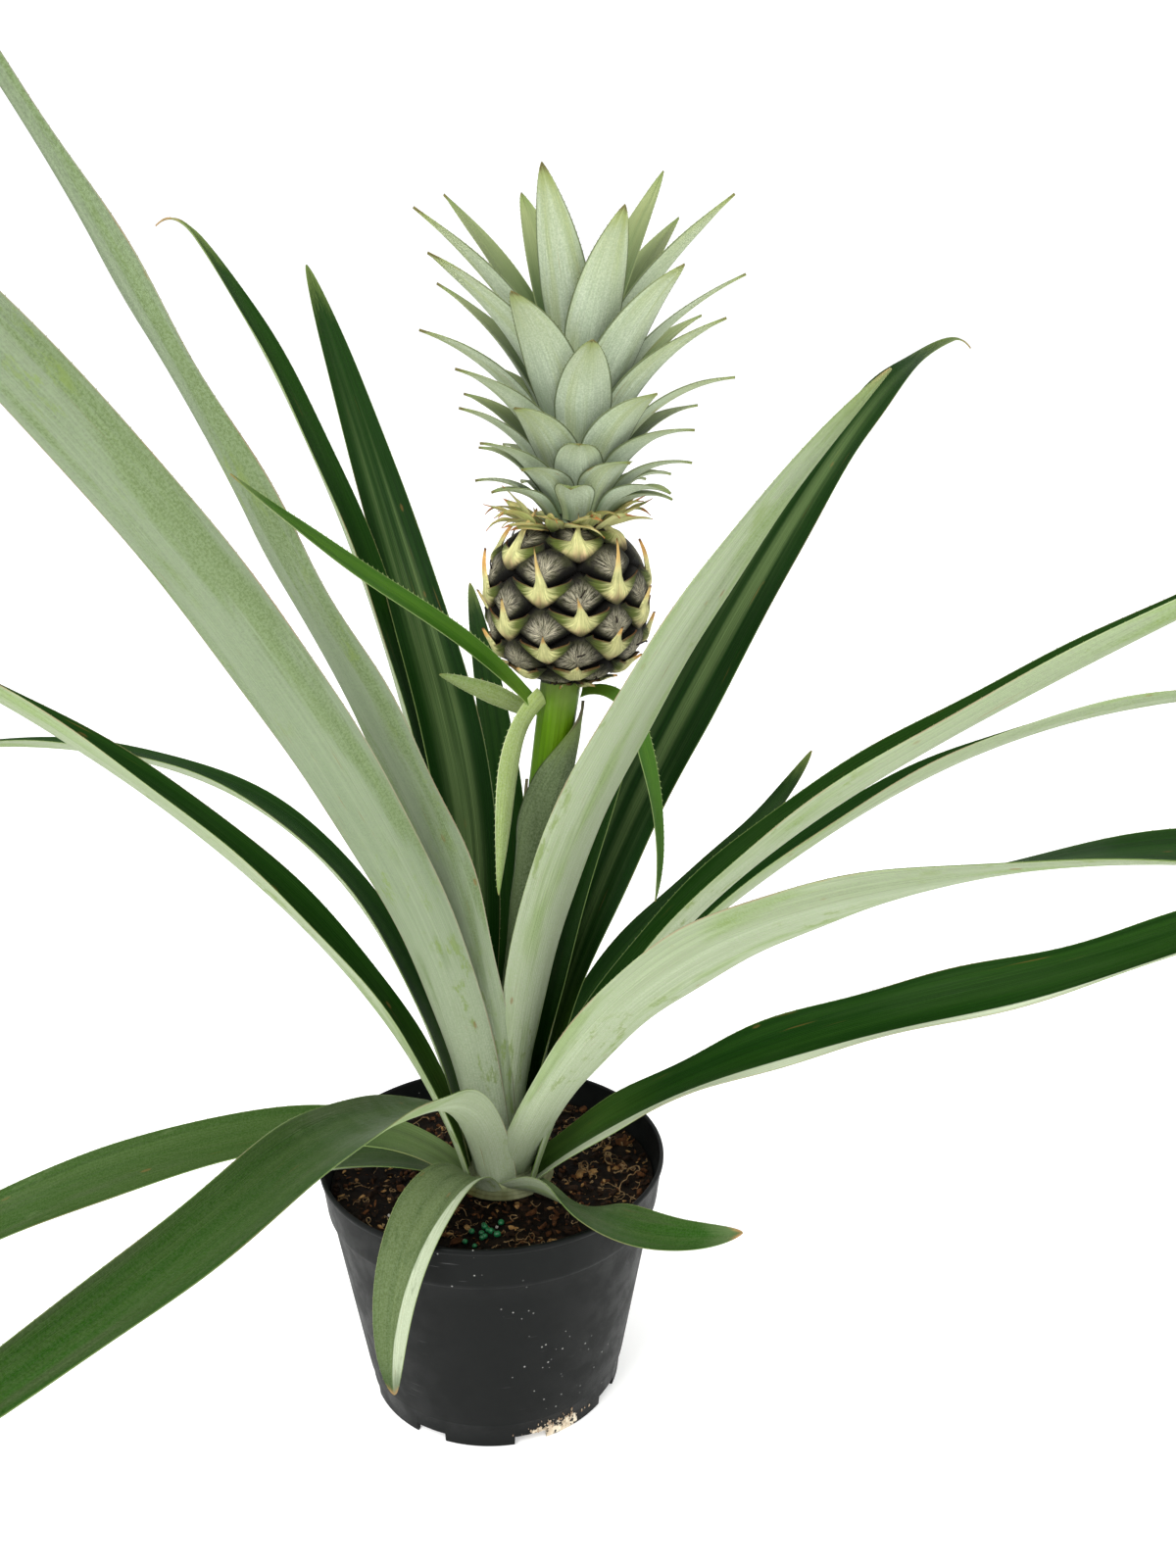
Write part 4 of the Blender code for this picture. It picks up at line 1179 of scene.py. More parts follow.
@dataclass
class NurseryPot:
    """The black nursery pot, with its rim band, skirt, foot notches and drain holes."""
    height: float = 0.101
    rim_radius: float = 0.070
    rim_bead: float = 0.0009
    base_radius: float = 0.052
    wall: float = 0.0016
    band_height: float = 0.018
    band_step: float = 0.0012
    skirt_height: float = 0.011
    skirt_flare: float = 0.0010
    skirt_thickness: float = 0.0018
    rounding: float = 0.0004
    body_foot: float = 0.0538
    body_top: float = 0.0662
    middle_height: float = 0.045
    floor_underside: float = 0.0044
    floor_thickness: float = 0.0018
    pad_radius: float = 0.009
    feet: int = 8
    notch_depth: float = 0.012
    notch_width: float = 0.013
    notch_height: float = 0.0040
    notch_cut: float = 0.0050
    first_notch: float = -76.0
    drains: int = 6
    drain_radius: float = 0.004
    drain_circle: float = 0.034
    drain_cut: float = 0.008
    sides: int = 192
    sharp: float = 35.0
    grains: int = 46
    grain_heading: float = -65.0
    grain_spread: float = 7.0
    grain_height: float = 0.0062
    grain_scatter: float = 0.0016
    grain_limits: Pair = (0.0046, 0.0102)
    grain_sizes: Pair = (0.0003, 0.0010)
    grain_thickness: float = 0.0003

    def radius(self, height: float) -> float:
        """Gives the outer radius of the tapered body at a height."""
        share = (height - self.skirt_height) / (self.height - self.band_height - self.skirt_height)
        return self.body_foot + share * (self.body_top - self.body_foot)

    def profile(self) -> list[Pair]:
        """Draws the pot's section.

        Returns:
            Radius and height pairs, from under the middle round to the inner floor.
        """
        rim, top, bead, soft = self.rim_radius, self.height, self.rim_bead, self.rounding
        inner = self.base_radius - self.skirt_thickness
        low = self.height - self.band_height
        band = self.radius(low) + self.band_step
        floor_top = self.floor_underside + self.floor_thickness
        points = [(AXIS_GAP, 0.0), (self.pad_radius - 0.0003, 0.0), (self.pad_radius, 0.0003),
                  (self.pad_radius, self.floor_underside), (inner, self.floor_underside), (inner, soft),
                  (inner + soft, 0.0), (self.base_radius - soft, 0.0), (self.base_radius, soft),
                  (self.base_radius + self.skirt_flare, self.skirt_height - 0.0003),
                  (self.base_radius + self.skirt_flare + 0.0002, self.skirt_height),
                  (self.radius(self.skirt_height), self.skirt_height + soft)]
        points += [(self.radius(z), z) for z in np.linspace(self.skirt_height + 0.004, low - 0.001, 9)]
        points += [(self.radius(low) + 0.0001, low - 0.0003), (band - 0.0003, low), (band, low + 0.0006)]
        points += [(band + share * (rim - soft - band), low + share * (top - low))
                   for share in np.linspace(0.1, 0.9, 6)]
        points += [(rim - 0.0003, top - 0.0022), (rim, top - 0.0016)]
        points += [(rim - bead + bead * math.cos(a), top - bead + bead * math.sin(a))
                   for a in np.linspace(0, np.pi, 7)]
        points += [(band - self.wall, low + 0.0014), (self.radius(low) - self.wall, low)]
        points += [(self.radius(z) - self.wall, z) for z in (self.middle_height, floor_top)]
        return points + [(AXIS_GAP, floor_top)]

    def cut(self, pot: bpy.types.Object, shapes: bmesh.types.BMesh) -> None:
        """Cuts shapes out of the pot.

        Args:
            pot: the pot.
            shapes: the shapes.
        """
        mesh = bpy.data.meshes.new("cut")
        bmesh.ops.recalc_face_normals(shapes, faces=shapes.faces)
        shapes.to_mesh(mesh)
        shapes.free()
        cutter = put("cut", mesh)
        modifier = pot.modifiers.new("cut", "BOOLEAN")
        modifier.operation = "DIFFERENCE"
        modifier.solver = "EXACT"
        modifier.object = cutter
        graph = bpy.context.evaluated_depsgraph_get()
        result = bpy.data.meshes.new_from_object(pot.evaluated_get(graph))
        pot.modifiers.remove(modifier)
        shell = bmesh.new()
        shell.from_mesh(result)
        bmesh.ops.remove_doubles(shell, verts=shell.verts, dist=MERGE_GAP)
        shell.to_mesh(result)
        shell.free()
        pot.data = result
        bpy.data.objects.remove(cutter, do_unlink=True)

    def notches(self) -> bmesh.types.BMesh:
        """Makes the gaps between the feet.

        Returns:
            The shapes to cut.
        """
        made = bmesh.new()
        for k in range(self.feet):
            angle = math.radians(self.first_notch) + 2 * math.pi * k / self.feet
            verts = bmesh.ops.create_cube(made, size=1.0)["verts"]
            bmesh.ops.scale(made, vec=(self.notch_depth, self.notch_width, self.notch_cut), verts=verts)
            bmesh.ops.translate(made, vec=(self.base_radius, 0, self.notch_height - self.notch_cut / 2),
                                verts=verts)
            bmesh.ops.rotate(made, cent=(0, 0, 0), matrix=Matrix.Rotation(angle, 3, "Z"), verts=verts)
        return made

    def drain_holes(self) -> bmesh.types.BMesh:
        """Makes the drain holes.

        Returns:
            The shapes to cut.
        """
        made = bmesh.new()
        for k in range(self.drains):
            angle = 2 * math.pi * k / self.drains
            centre = (self.drain_circle * math.cos(angle), self.drain_circle * math.sin(angle),
                      self.floor_underside)
            bmesh.ops.create_cone(made, cap_ends=True, segments=32, radius1=self.drain_radius,
                                  radius2=self.drain_radius, depth=self.drain_cut,
                                  matrix=Matrix.Translation(centre))
        return made

    def build_crust(self) -> None:
        """Builds the raised grains of the mineral crust by one foot."""
        rng = Draws.MINERAL.start()
        draft = MeshDraft()
        for _ in range(self.grains):
            turn = math.radians(self.grain_heading + rng.normal(0, self.grain_spread))
            z = float(np.clip(rng.normal(self.grain_height, self.grain_scatter), *self.grain_limits))
            out = self.base_radius + self.skirt_flare * z / self.skirt_height + 0.00005
            lying = Matrix.Rotation(turn, 3, "Z") @ Matrix.Rotation(math.pi / 2, 3, "Y")
            add_flake(draft, rng, (out * math.cos(turn), out * math.sin(turn), z),
                      rng.uniform(*self.grain_sizes), self.grain_thickness, lying)
        hand_over(draft.finish("mineral_grains", "mineral_crust", sharp=20), "pot_plastic")

    def build(self) -> None:
        """Builds the pot."""
        draft = MeshDraft()
        draft.add_tube(lathe_rings(self.profile(), self.sides))
        pot = draft.finish("pot_moulding", "black_polypropylene", sharp=self.sharp)
        self.cut(pot, self.notches())
        self.cut(pot, self.drain_holes())
        soften(pot.data, self.sharp)
        hand_over(pot, "pot_plastic", "nursery_pot")
        self.build_crust()


def add_flake(draft: MeshDraft, rng: np.random.Generator, place: Sequence[float], size: float,
              thickness: float, turn: Matrix, slot: int = 0) -> None:
    """Adds one irregular flake.

    Args:
        draft: the mesh.
        rng: the source of its shape.
        place: its middle.
        size: its half length.
        thickness: its thickness.
        turn: its rotation.
        slot: the finish slot.
    """
    sides = int(rng.integers(5, 8))
    angles = np.sort(rng.uniform(0, 2 * np.pi, sides)) + ring_angles(sides)
    angles *= 2 * np.pi / (1.12 * angles[-1])
    reach = rng.uniform(0.62, 1.0, sides)
    narrow = rng.uniform(0.22, 0.75)
    rings = []
    for level, scale in ((-0.5, 0.72), (0.0, 1.0), (0.5, 0.78)):
        out = size * reach * scale * rng.uniform(0.9, 1.1, sides)
        height = thickness * (level + rng.uniform(-0.12, 0.12, sides))
        rings.append(layout(out * np.cos(angles), narrow * out * np.sin(angles), height))
    draft.add_tube(np.array(rings) @ np.array(turn).T + np.array(place), slot=slot)


@dataclass
class PottingSoil:
    """Dark peat with bark, fibres, pale roots, perlite and a few feed prills."""
    pot: NurseryPot
    top: float = 0.0888
    bottom: float = 0.0066
    wall_gap: float = 0.0003
    sectors: int = 240
    rings: int = 84
    lumps: tuple[Point, ...] = ((0.0011, 120, 3.1), (0.0008, 330, 7.7), (0.00045, 900, 1.3))
    calm_edge: float = 0.0662
    calm_width: float = 0.004
    scatter_edge: float = 0.0655
    litter_edge: float = 0.0645
    chip_edge: float = 0.0668
    strand_edge: float = 0.0635
    stem_x: float = 0.004
    stem_clear: float = 0.018
    strand_clear: float = 0.017
    chips: int = 1500
    chip_size: float = 0.0014
    largest_chip: float = 0.0046
    chip_shares: Point = (0.58, 0.28, 0.14)
    perlite: int = 26
    perlite_sizes: Pair = (0.0005, 0.0011)
    strand_steps: int = 18
    fibres: int = 230
    roots: int = 9
    prills: int = 13
    prill_place: Pair = (-0.004, -0.0415)
    prill_scatter: Pair = (0.0042, 0.0038)
    prill_sizes: Pair = (0.0009, 0.0014)

    def height(self, x: float, y: float) -> float:
        """Gives the soil's height at a place.

        Args:
            x: the place across.
            y: the place in depth.

        Returns:
            The height.
        """
        lumps = sum(size * noise.noise(Vector((x * scale, y * scale, layer)))
                    for size, scale, layer in self.lumps)
        calm = min(1.0, max(0.0, (self.calm_edge - math.hypot(x, y)) / self.calm_width))
        return self.top - 0.0002 + lumps * calm

    def build_bed(self) -> None:
        """Builds the body of peat."""
        pot = self.pot
        band_low = pot.height - pot.band_height
        inner = pot.radius(band_low) - pot.wall - self.wall_gap
        rows = [(AXIS_GAP, self.bottom)]
        rows += [(pot.radius(z) - pot.wall - self.wall_gap, z) for z in (self.bottom, pot.middle_height)]
        rows += [(inner, band_low - 0.0002), (inner + pot.band_step - self.wall_gap, band_low + 0.0016)]
        edge = inner + pot.band_step + self.wall_gap
        face = [(radius, self.top) for radius in np.linspace(edge, AXIS_GAP, self.rings)]
        rings = lathe_rings(rows + face, self.sectors)
        for point in rings[len(rows):].reshape(-1, 3):
            point[2] = self.height(point[0], point[1])
        draft = MeshDraft()
        draft.add_tube(rings)
        hand_over(draft.finish("peat_bed", "peat", sharp=60), "potting_soil", "potting_soil")

    def spot(self, rng: np.random.Generator) -> Point:
        """Picks a bare place on the soil, clear of the stem.

        Args:
            rng: the source of the place.

        Returns:
            The place.
        """
        while True:
            out, turn = self.scatter_edge * math.sqrt(rng.uniform(0, 1)), rng.uniform(0, 2 * math.pi)
            x, y = out * math.cos(turn), out * math.sin(turn)
            if math.hypot(x - self.stem_x, y) > self.stem_clear and out < self.litter_edge:
                return x, y, self.height(x, y)

    def build_chips(self) -> None:
        """Builds the bark chips."""
        rng = Draws.LITTER.start()
        draft = MeshDraft()
        for _ in range(self.chips):
            x, y, z = self.spot(rng)
            size = min(self.largest_chip, float(rng.lognormal(math.log(self.chip_size), 0.50)))
            slot = int(rng.choice(len(self.chip_shares), p=self.chip_shares))
            turn = (Matrix.Rotation(rng.uniform(0, 2 * math.pi), 3, "Z")
                    @ Matrix.Rotation(rng.normal(0, 0.5), 3, "X")
                    @ Matrix.Rotation(rng.normal(0, 0.35), 3, "Y"))
            size = min(size, self.chip_edge - math.hypot(x, y))
            add_flake(draft, rng, (x, y, z + 0.25 * size), size, size * rng.uniform(0.25, 0.6), turn, slot)
        hand_over(draft.finish("bark_chips", "bark_dark", "bark_red", "bark_tan", sharp=18), "potting_soil")

    def build_perlite(self) -> None:
        """Builds the perlite grains."""
        rng = Draws.PERLITE.start()
        draft = MeshDraft()
        for _ in range(self.perlite):
            x, y, z = self.spot(rng)
            size = rng.uniform(*self.perlite_sizes)
            add_flake(draft, rng, (x, y, z + 0.5 * size), size, 1.3 * size,
                      Matrix.Rotation(rng.uniform(0, 6.28), 3, "Z"))
        hand_over(draft.finish("perlite_grains", "perlite", sharp=25), "potting_soil")

    def strand(self, draft: MeshDraft, rng: np.random.Generator, place: Sequence[float], length: float,
               radius: float, curl: float, hop: float) -> None:
        """Adds one curly strand that lies on the soil.

        Args:
            draft: the mesh.
            rng: the source of its path.
            place: where it starts.
            length: its length.
            radius: its radius.
            curl: how much it turns.
            hop: how high its loops rise.
        """
        steps = self.strand_steps
        stride = length / steps
        turn, bend = rng.uniform(0, 2 * math.pi), rng.normal(0, curl)
        path = [tuple(place)]
        for k in range(steps):
            bend += rng.normal(0, 0.4 * curl)
            turn += bend / steps * 6
            here = path[-1]
            x, y = here[0] + math.cos(turn) * stride, here[1] + math.sin(turn) * stride
            if math.hypot(x, y) > self.strand_edge or math.hypot(x - self.stem_x, y) < self.strand_clear:
                turn += math.pi / 2
                x, y = here[0] + math.cos(turn) * stride, here[1] + math.sin(turn) * stride
            lift = hop * abs(math.sin(math.pi * k / steps)) * rng.uniform(0.7, 1.2)
            path.append((x, y, self.height(x, y) + radius + lift))
        share, fine = np.linspace(0, 1, len(path)), np.linspace(0, 1, 40)
        x, y, z = np.array(path).T
        middle = layout(smoothed(x, fine), smoothed(y, fine), np.interp(fine, share, z))
        radii = radius * (1 - 0.5 * fine) * (1 + 0.15 * np.sin(23 * fine))
        draft.add_tube(tube_rings(middle, radii, 6))

    def build_strands(self) -> None:
        """Builds the fibres and the pale roots."""
        rng = Draws.STRANDS.start()
        draft = MeshDraft()
        for _ in range(self.fibres):
            self.strand(draft, rng, self.spot(rng), rng.uniform(0.003, 0.011), rng.uniform(0.00010, 0.00026),
                        curl=0.8, hop=0.0012)
        for _ in range(self.roots):
            self.strand(draft, rng, (rng.uniform(0.034, 0.056), rng.uniform(-0.012, 0.026), self.top),
                        rng.uniform(0.02, 0.034), 0.00034, curl=2.4, hop=0.0045)
        hand_over(draft.finish("root_strands", "root_fibre"), "potting_soil")

    def build_prills(self) -> None:
        """Builds the feed prills by the front."""
        rng = Draws.PRILLS.start()
        made = bmesh.new()
        for _ in range(self.prills):
            x, y = (rng.normal(middle, spread) for middle, spread in zip(self.prill_place, self.prill_scatter))
            radius = rng.uniform(*self.prill_sizes)
            place = Matrix.Translation((x, y, self.height(x, y) + 0.9 * radius))
            squash = Matrix.Diagonal((1.0, rng.uniform(0.85, 1.1), rng.uniform(0.8, 1.0), 1.0))
            bmesh.ops.create_icosphere(made, subdivisions=3, radius=radius, matrix=place @ squash)
        mesh = bpy.data.meshes.new("feed_prills")
        made.to_mesh(mesh)
        made.free()
        mesh.shade_smooth()
        mesh.materials.append(bpy.data.materials["feed_prill"])
        hand_over(put("feed_prills", mesh), "potting_soil")

    def build(self) -> None:
        """Builds the soil and what lies on it."""
        self.build_bed()
        self.build_chips()
        self.build_perlite()
        self.build_strands()
        self.build_prills()


# Stem and rosette


@dataclass
class StemBase:
    """The short stem that the leaves grow from, ringed with leaf scars."""
    axis: Pair = (0.004, 0.0)
    pit_bottom: float = 0.066
    shaft_radius: float = 0.0062
    soil_top: float = 0.0888
    clearance: float = 0.0003
    edge: float = 0.0208
    neck: float = 0.0050
    top: float = 0.1028
    base_height: float = 0.0915
    outer_ring: float = 0.020
    slope: float = 0.5
    below_leaves: float = 0.0011
    scars: int = 34
    scar_depth: float = 0.00022
    sides: int = 96

    def seat(self, radius: float) -> float:
        """Gives the height at which a leaf of a ring starts."""
        return self.base_height + (self.outer_ring - radius) * self.slope

    def build(self) -> None:
        """Builds the stem."""
        under, pit = self.soil_top + self.clearance, self.pit_bottom + self.clearance
        profile = [(AXIS_GAP, pit), (self.shaft_radius - 0.0012, pit),
                   (self.shaft_radius, self.pit_bottom + 0.002), (self.shaft_radius, under),
                   (self.edge - 0.0004, under), (self.edge, under + 0.0006)]
        profile += [(radius, self.seat(radius) - self.below_leaves + self.scar_depth * math.sin(radius * 4200))
                    for radius in np.linspace(self.edge - 0.0003, self.neck, self.scars)]
        profile += [(self.neck - 0.0009, self.top - 0.0003), (self.neck - 0.0014, self.top),
                    (AXIS_GAP, self.top)]
        inner = np.clip(1 - (np.array(profile)[:, :1] - self.neck) / (self.edge - self.neck), 0, 1)
        draft = MeshDraft()
        draft.add_tube(lathe_rings(profile, self.sides, self.axis), lathe_map(profile, self.sides),
                       layout(inner, np.zeros((1, self.sides))))
        hand_over(draft.finish("stem_crown", "stem_skin"), "stem", "stem_base")


ROSETTE = (
    Posture("leaf_01_low_left", 0.0200, 0.105, 0.022, (36, 6, -12, -30), (-168, -172, -173), (0, -5, -5),
            tone=Tone.FRESH, dryness=0.16),
    Posture("leaf_02_left", 0.0179, 0.345, 0.023, (51, 3, -15, -32, -49), (-160, -164, -169), (20, 27, 16),
            tone=Tone.FRESH),
    Posture("leaf_03_front_short", 0.0180, 0.119, 0.023, (59, 10, -31, -71, -100), (-120, -115, -107),
            (5, 5, 0), tone=Tone.DUSTY, dryness=0.17, wave=0.0004, pale_side=-0.52, pale_slant=1.15),
    Posture("leaf_04_front_right_short", 0.0180, 0.120, 0.025, (25, 14, 11, 17, 25), (-66, -54, -23),
            (8, 40, 10, -22, -42), tone=Tone.FRESH, dryness=0.16, wave=0.0008, pale_foot=0.10, pale_slant=0.26),
    Posture("leaf_05_right_low", 0.0160, 0.370, 0.023, (45, 30, 21, 28, 33), (-20, -19, -12), (-19, -38, -30),
            wave=0.0016, pale_side=0.76, pale_slant=-0.62),
    Posture("leaf_06_left_arching", 0.0156, 0.428, 0.027, (75, 55, 39, 28, 18), (197, 183, 177),
            (22, -4, -72), 120),
    Posture("leaf_07_front_left", 0.0142, 0.376, 0.027, (75, 30, 22, 9, 8, 6), (-110, -108, -123),
            (8, -13, 4, 18, 22, 22), 112, tone=Tone.FRESH, wave=0.0006),
    Posture("leaf_08_back_left_drooping", 0.0140, 0.417, 0.023, (79, 57, 15, -9, -34), (156, 163, 162),
            (-2, -10, 0)),
    Posture("leaf_09_back_right_short", 0.0140, 0.273, 0.021, (70, 37, 18, 18, 22), (42, 44, 58), (6, 7, 2)),
    Posture("leaf_10_right", 0.0141, 0.468, 0.030, (73, 53, 37, 32, 27), (-29, -31, -26), (-40, -7, 9), 150),
    Posture("leaf_11_front_right", 0.0122, 0.460, 0.026, (60, 45, 31, 20, -4), (-65, -65, -64), (6, 29, -60)),
    Posture("leaf_12_back_left", 0.0124, 0.446, 0.023, (86, 81, 69, 52, 27), (146, 143, 124), (-1, -14, -4), 98,
            dryness=0.24, hook=44, hook_share=0.10, tail=0.06),
    Posture("leaf_13_right_narrow", 0.0124, 0.414, 0.024, (74, 42, 28, 10, -4), (5, 6, 5), (-15, 12, 40), 126),
    Posture("leaf_14_front_left_tall", 0.0102, 0.534, 0.027, (83, 61, 51, 40, 28), (-125, -125, -128),
            (-12, -35, -49), underside=Underside.GREY_SHADED),
    Posture("leaf_15_back_tall", 0.0106, 0.409, 0.026, (83, 90, 62, 51, 41), (140, 121, 110), (2, 15, 10),
            tone=Tone.SHEEN_STREAKED, dryness=0.02),
    Posture("leaf_16_back_right_tall", 0.0100, 0.477, 0.028, (81, 64, 51, 44, 33, 5), (27, 40, 43),
            (-16, -36, -12), tone=Tone.SHEEN_STREAKED, wave=0.0020, dryness=0.14, hook=38, hook_share=0.05,
            tail=0.03),
    Posture("leaf_17_left_tall", 0.0077, 0.469, 0.024, (86, 75, 63, 64, 62, 55), (-111, -138, -158, -154),
            (2, -18, -24), wave=0.0011, underside=Underside.GREY_SHADED),
    Posture("leaf_18_back_right_inner", 0.0081, 0.212, 0.023, (77, 79, 72, 68, 66), (18, 25, 35),
            (-5, -11, -10)),
    Posture("leaf_19_front_inner", 0.0064, 0.364, 0.023, (85, 72, 55, 48, 38), (-57, -60, -61), (2, 12, 10)),
    Posture("leaf_20_back_inner", 0.0060, 0.300, 0.019, (84, 64, 46, 30, 20), (75, 95, 95), (-5, -4, 1)))


@dataclass
class Rosette:
    """The strap leaves round the stem."""
    stem: StemBase
    form: BladeForm = BladeForm(rows=88, columns=15, thickness=0.0014, edge=0.0004, base_share=0.78,
                                widest=0.42, sheath=0.09, teeth_from=0.22, tooth_gap=0.0042,
                                tooth_length=0.0005)

    def build(self) -> None:
        """Builds every strap leaf."""
        for number, posture in enumerate(ROSETTE, 1):
            draft = MeshDraft()
            self.form.build(draft, posture, (*self.stem.axis, self.stem.seat(posture.ring)), number)
            piece = draft.finish(posture.name + "_blade", posture.tone.value, posture.underside.value,
                                 "strap_leaf_tooth")
            hand_over(piece, "rosette_leaf", posture.name)


# Stalk, bracts and sheaths


@dataclass(frozen=True)
class Sheath:
    """A sheath pressed on the stalk: its side, wrap and lean in degrees, and its place in metres."""
    name: str
    heading: float
    span: float
    lean: float
    low: float
    high: float
    gap: float


@dataclass
class FruitStalk:
    """The stalk with the bracts and sheaths that cling to it."""
    heights: Row = (0.1036, 0.145, 0.200, 0.255, 0.2952)
    centres: Row = (0.0045, 0.0095, 0.0165, 0.0235, 0.0290)
    radii: Row = (0.0046, 0.0054, 0.0064, 0.0072, 0.0078)
    ribs: int = 11
    rib_depth: float = 0.028
    flatness: float = 0.012
    rows: int = 90
    sides: int = 72
    bracts: tuple[tuple[Posture, float], ...] = (
        (Posture("stalk_bract_long", 0.0103, 0.155, 0.0092, (45, 34, 32, 35), (-139, -137, -126),
                 (65, 61, 59), 70), 0.286),
        (Posture("stalk_bract_left", 0.0096, 0.078, 0.0094, (-24, -60, -72, -80), (-134, -112, -120),
                 (-104, -119, -108), 70), 0.291),
        (Posture("stalk_bract_right", 0.0092, 0.096, 0.0082, (27, -61, -77, -87, -97), (-27, -27, -25),
                 (-28, -22, -18), 70), 0.291))
    folded_side: Posture = Posture("stalk_bract_long_fold", 0.0102, 0.037, 0.0085, (30, 24, 20),
                                   (186, 184, 180), (-68, -74, -70), 60.0)
    folded_height: float = 0.2835
    bract_form: BladeForm = BladeForm(rows=56, columns=11, thickness=0.0010, edge=0.0003, base_share=0.75,
                                      widest=0.42, sheath=0.020, teeth_from=0.12, tooth_gap=0.0024,
                                      tooth_length=0.0008)
    sheaths: tuple[Sheath, ...] = (
        Sheath("stalk_sheath_front", -165.0, 190.0, -20.0, 0.130, 0.258, 0.0002),
        Sheath("stalk_sheath_back", -88.0, 260.0, 95.0, 0.136, 0.288, 0.0013))
    sheath_rows: int = 60
    sheath_columns: int = 15
    sheath_thickness: float = 0.0007
    sheath_wave: float = 0.0005
    sheath_flare: float = 0.0004
    sheath_dryness: float = 0.25

    def centre(self, height: float | Array) -> float | Array:
        """Gives X of the stalk's middle at a height."""
        return np.interp(height, self.heights, self.centres)

    def rings(self, height: Array, scale: Array | float, lift: Array | float, angles: Array) -> Array:
        """Gives points round the stalk.

        Args:
            height: the rows' heights.
            scale: the points' distance from the middle, as a share of the stalk's radius.
            lift: how much further out they lie.
            angles: the headings of the points.

        Returns:
            The points.
        """
        radius = np.interp(height, self.heights, self.radii) * scale + lift
        return layout(self.centre(height) + radius * np.cos(angles), radius * np.sin(angles), height)

    def build_stalk(self) -> None:
        """Builds the ribbed stalk."""
        height = np.linspace(self.heights[0], self.heights[-1], self.rows)[:, None]
        share = np.linspace(0, 1, self.rows)[:, None]
        angles = ring_angles(self.sides)[None]
        ribs = self.rib_depth * (0.5 - 0.5 * np.cos(self.ribs * angles))
        section = 1 - ribs - self.flatness * np.cos(2 * angles)
        draft = MeshDraft()
        draft.add_tube(self.rings(height, section, 0.0, angles), layout(angles / (2 * np.pi), height),
                       layout(share, 0 * angles))
        hand_over(draft.finish("stalk_shaft", "stalk_skin"), "fruit_stalk", "fruit_stalk")

    def build_sheath(self, sheath: Sheath) -> None:
        """Builds one sheath that is pressed on the stalk.

        Args:
            sheath: where it wraps and how far it reaches.
        """
        share = np.linspace(0, 0.995, self.sheath_rows)[:, None]
        height = sheath.low + (sheath.high - sheath.low) * share
        u = np.linspace(-1, 1, self.sheath_columns)[None]
        angles = math.radians(sheath.heading) + math.radians(sheath.lean) * share**6
        angles = angles + math.radians(sheath.span) * (1 - share**4) / 2 * u
        wave = self.sheath_wave * np.abs(u) ** 4 * np.sin(height * 190)
        lift = sheath.gap + self.sheath_flare * share + wave
        inner, outer = (self.rings(height, 1.0, lift + extra, angles) for extra in (0.0, self.sheath_thickness))
        draft = MeshDraft()
        draft.add_sheet(inner, outer, layout((u + 1) / 2, height + 5.0),
                        layout(share, np.full_like(u, self.sheath_dryness)))
        piece = draft.finish(sheath.name + "_skin", "stalk_sheath_skin", "stalk_sheath_skin")
        hand_over(piece, "stalk_sheath", sheath.name)

    def build(self) -> None:
        """Builds the stalk, its bracts and its sheaths."""
        self.build_stalk()
        for number, (posture, height) in enumerate(self.bracts):
            draft = MeshDraft()
            middle = (float(self.centre(height)), 0.0)
            self.bract_form.build(draft, posture, (*middle, height), 40 + number)
            if number == 0:
                self.bract_form.build(draft, self.folded_side, (*middle, self.folded_height), 50)
            piece = draft.finish(posture.name + "_blade", "stalk_bract_upper", "stalk_bract_lower",
                                 "stalk_bract_lower")
            hand_over(piece, "stalk_bract", posture.name)
        for sheath in self.sheaths:
            self.build_sheath(sheath)


# Fruit


@dataclass(frozen=True)
class Eye:
    """Where one eye sits: its height from the fruit's middle, its heading, and its distance up the section."""
    height: float
    turn: float
    arc: float


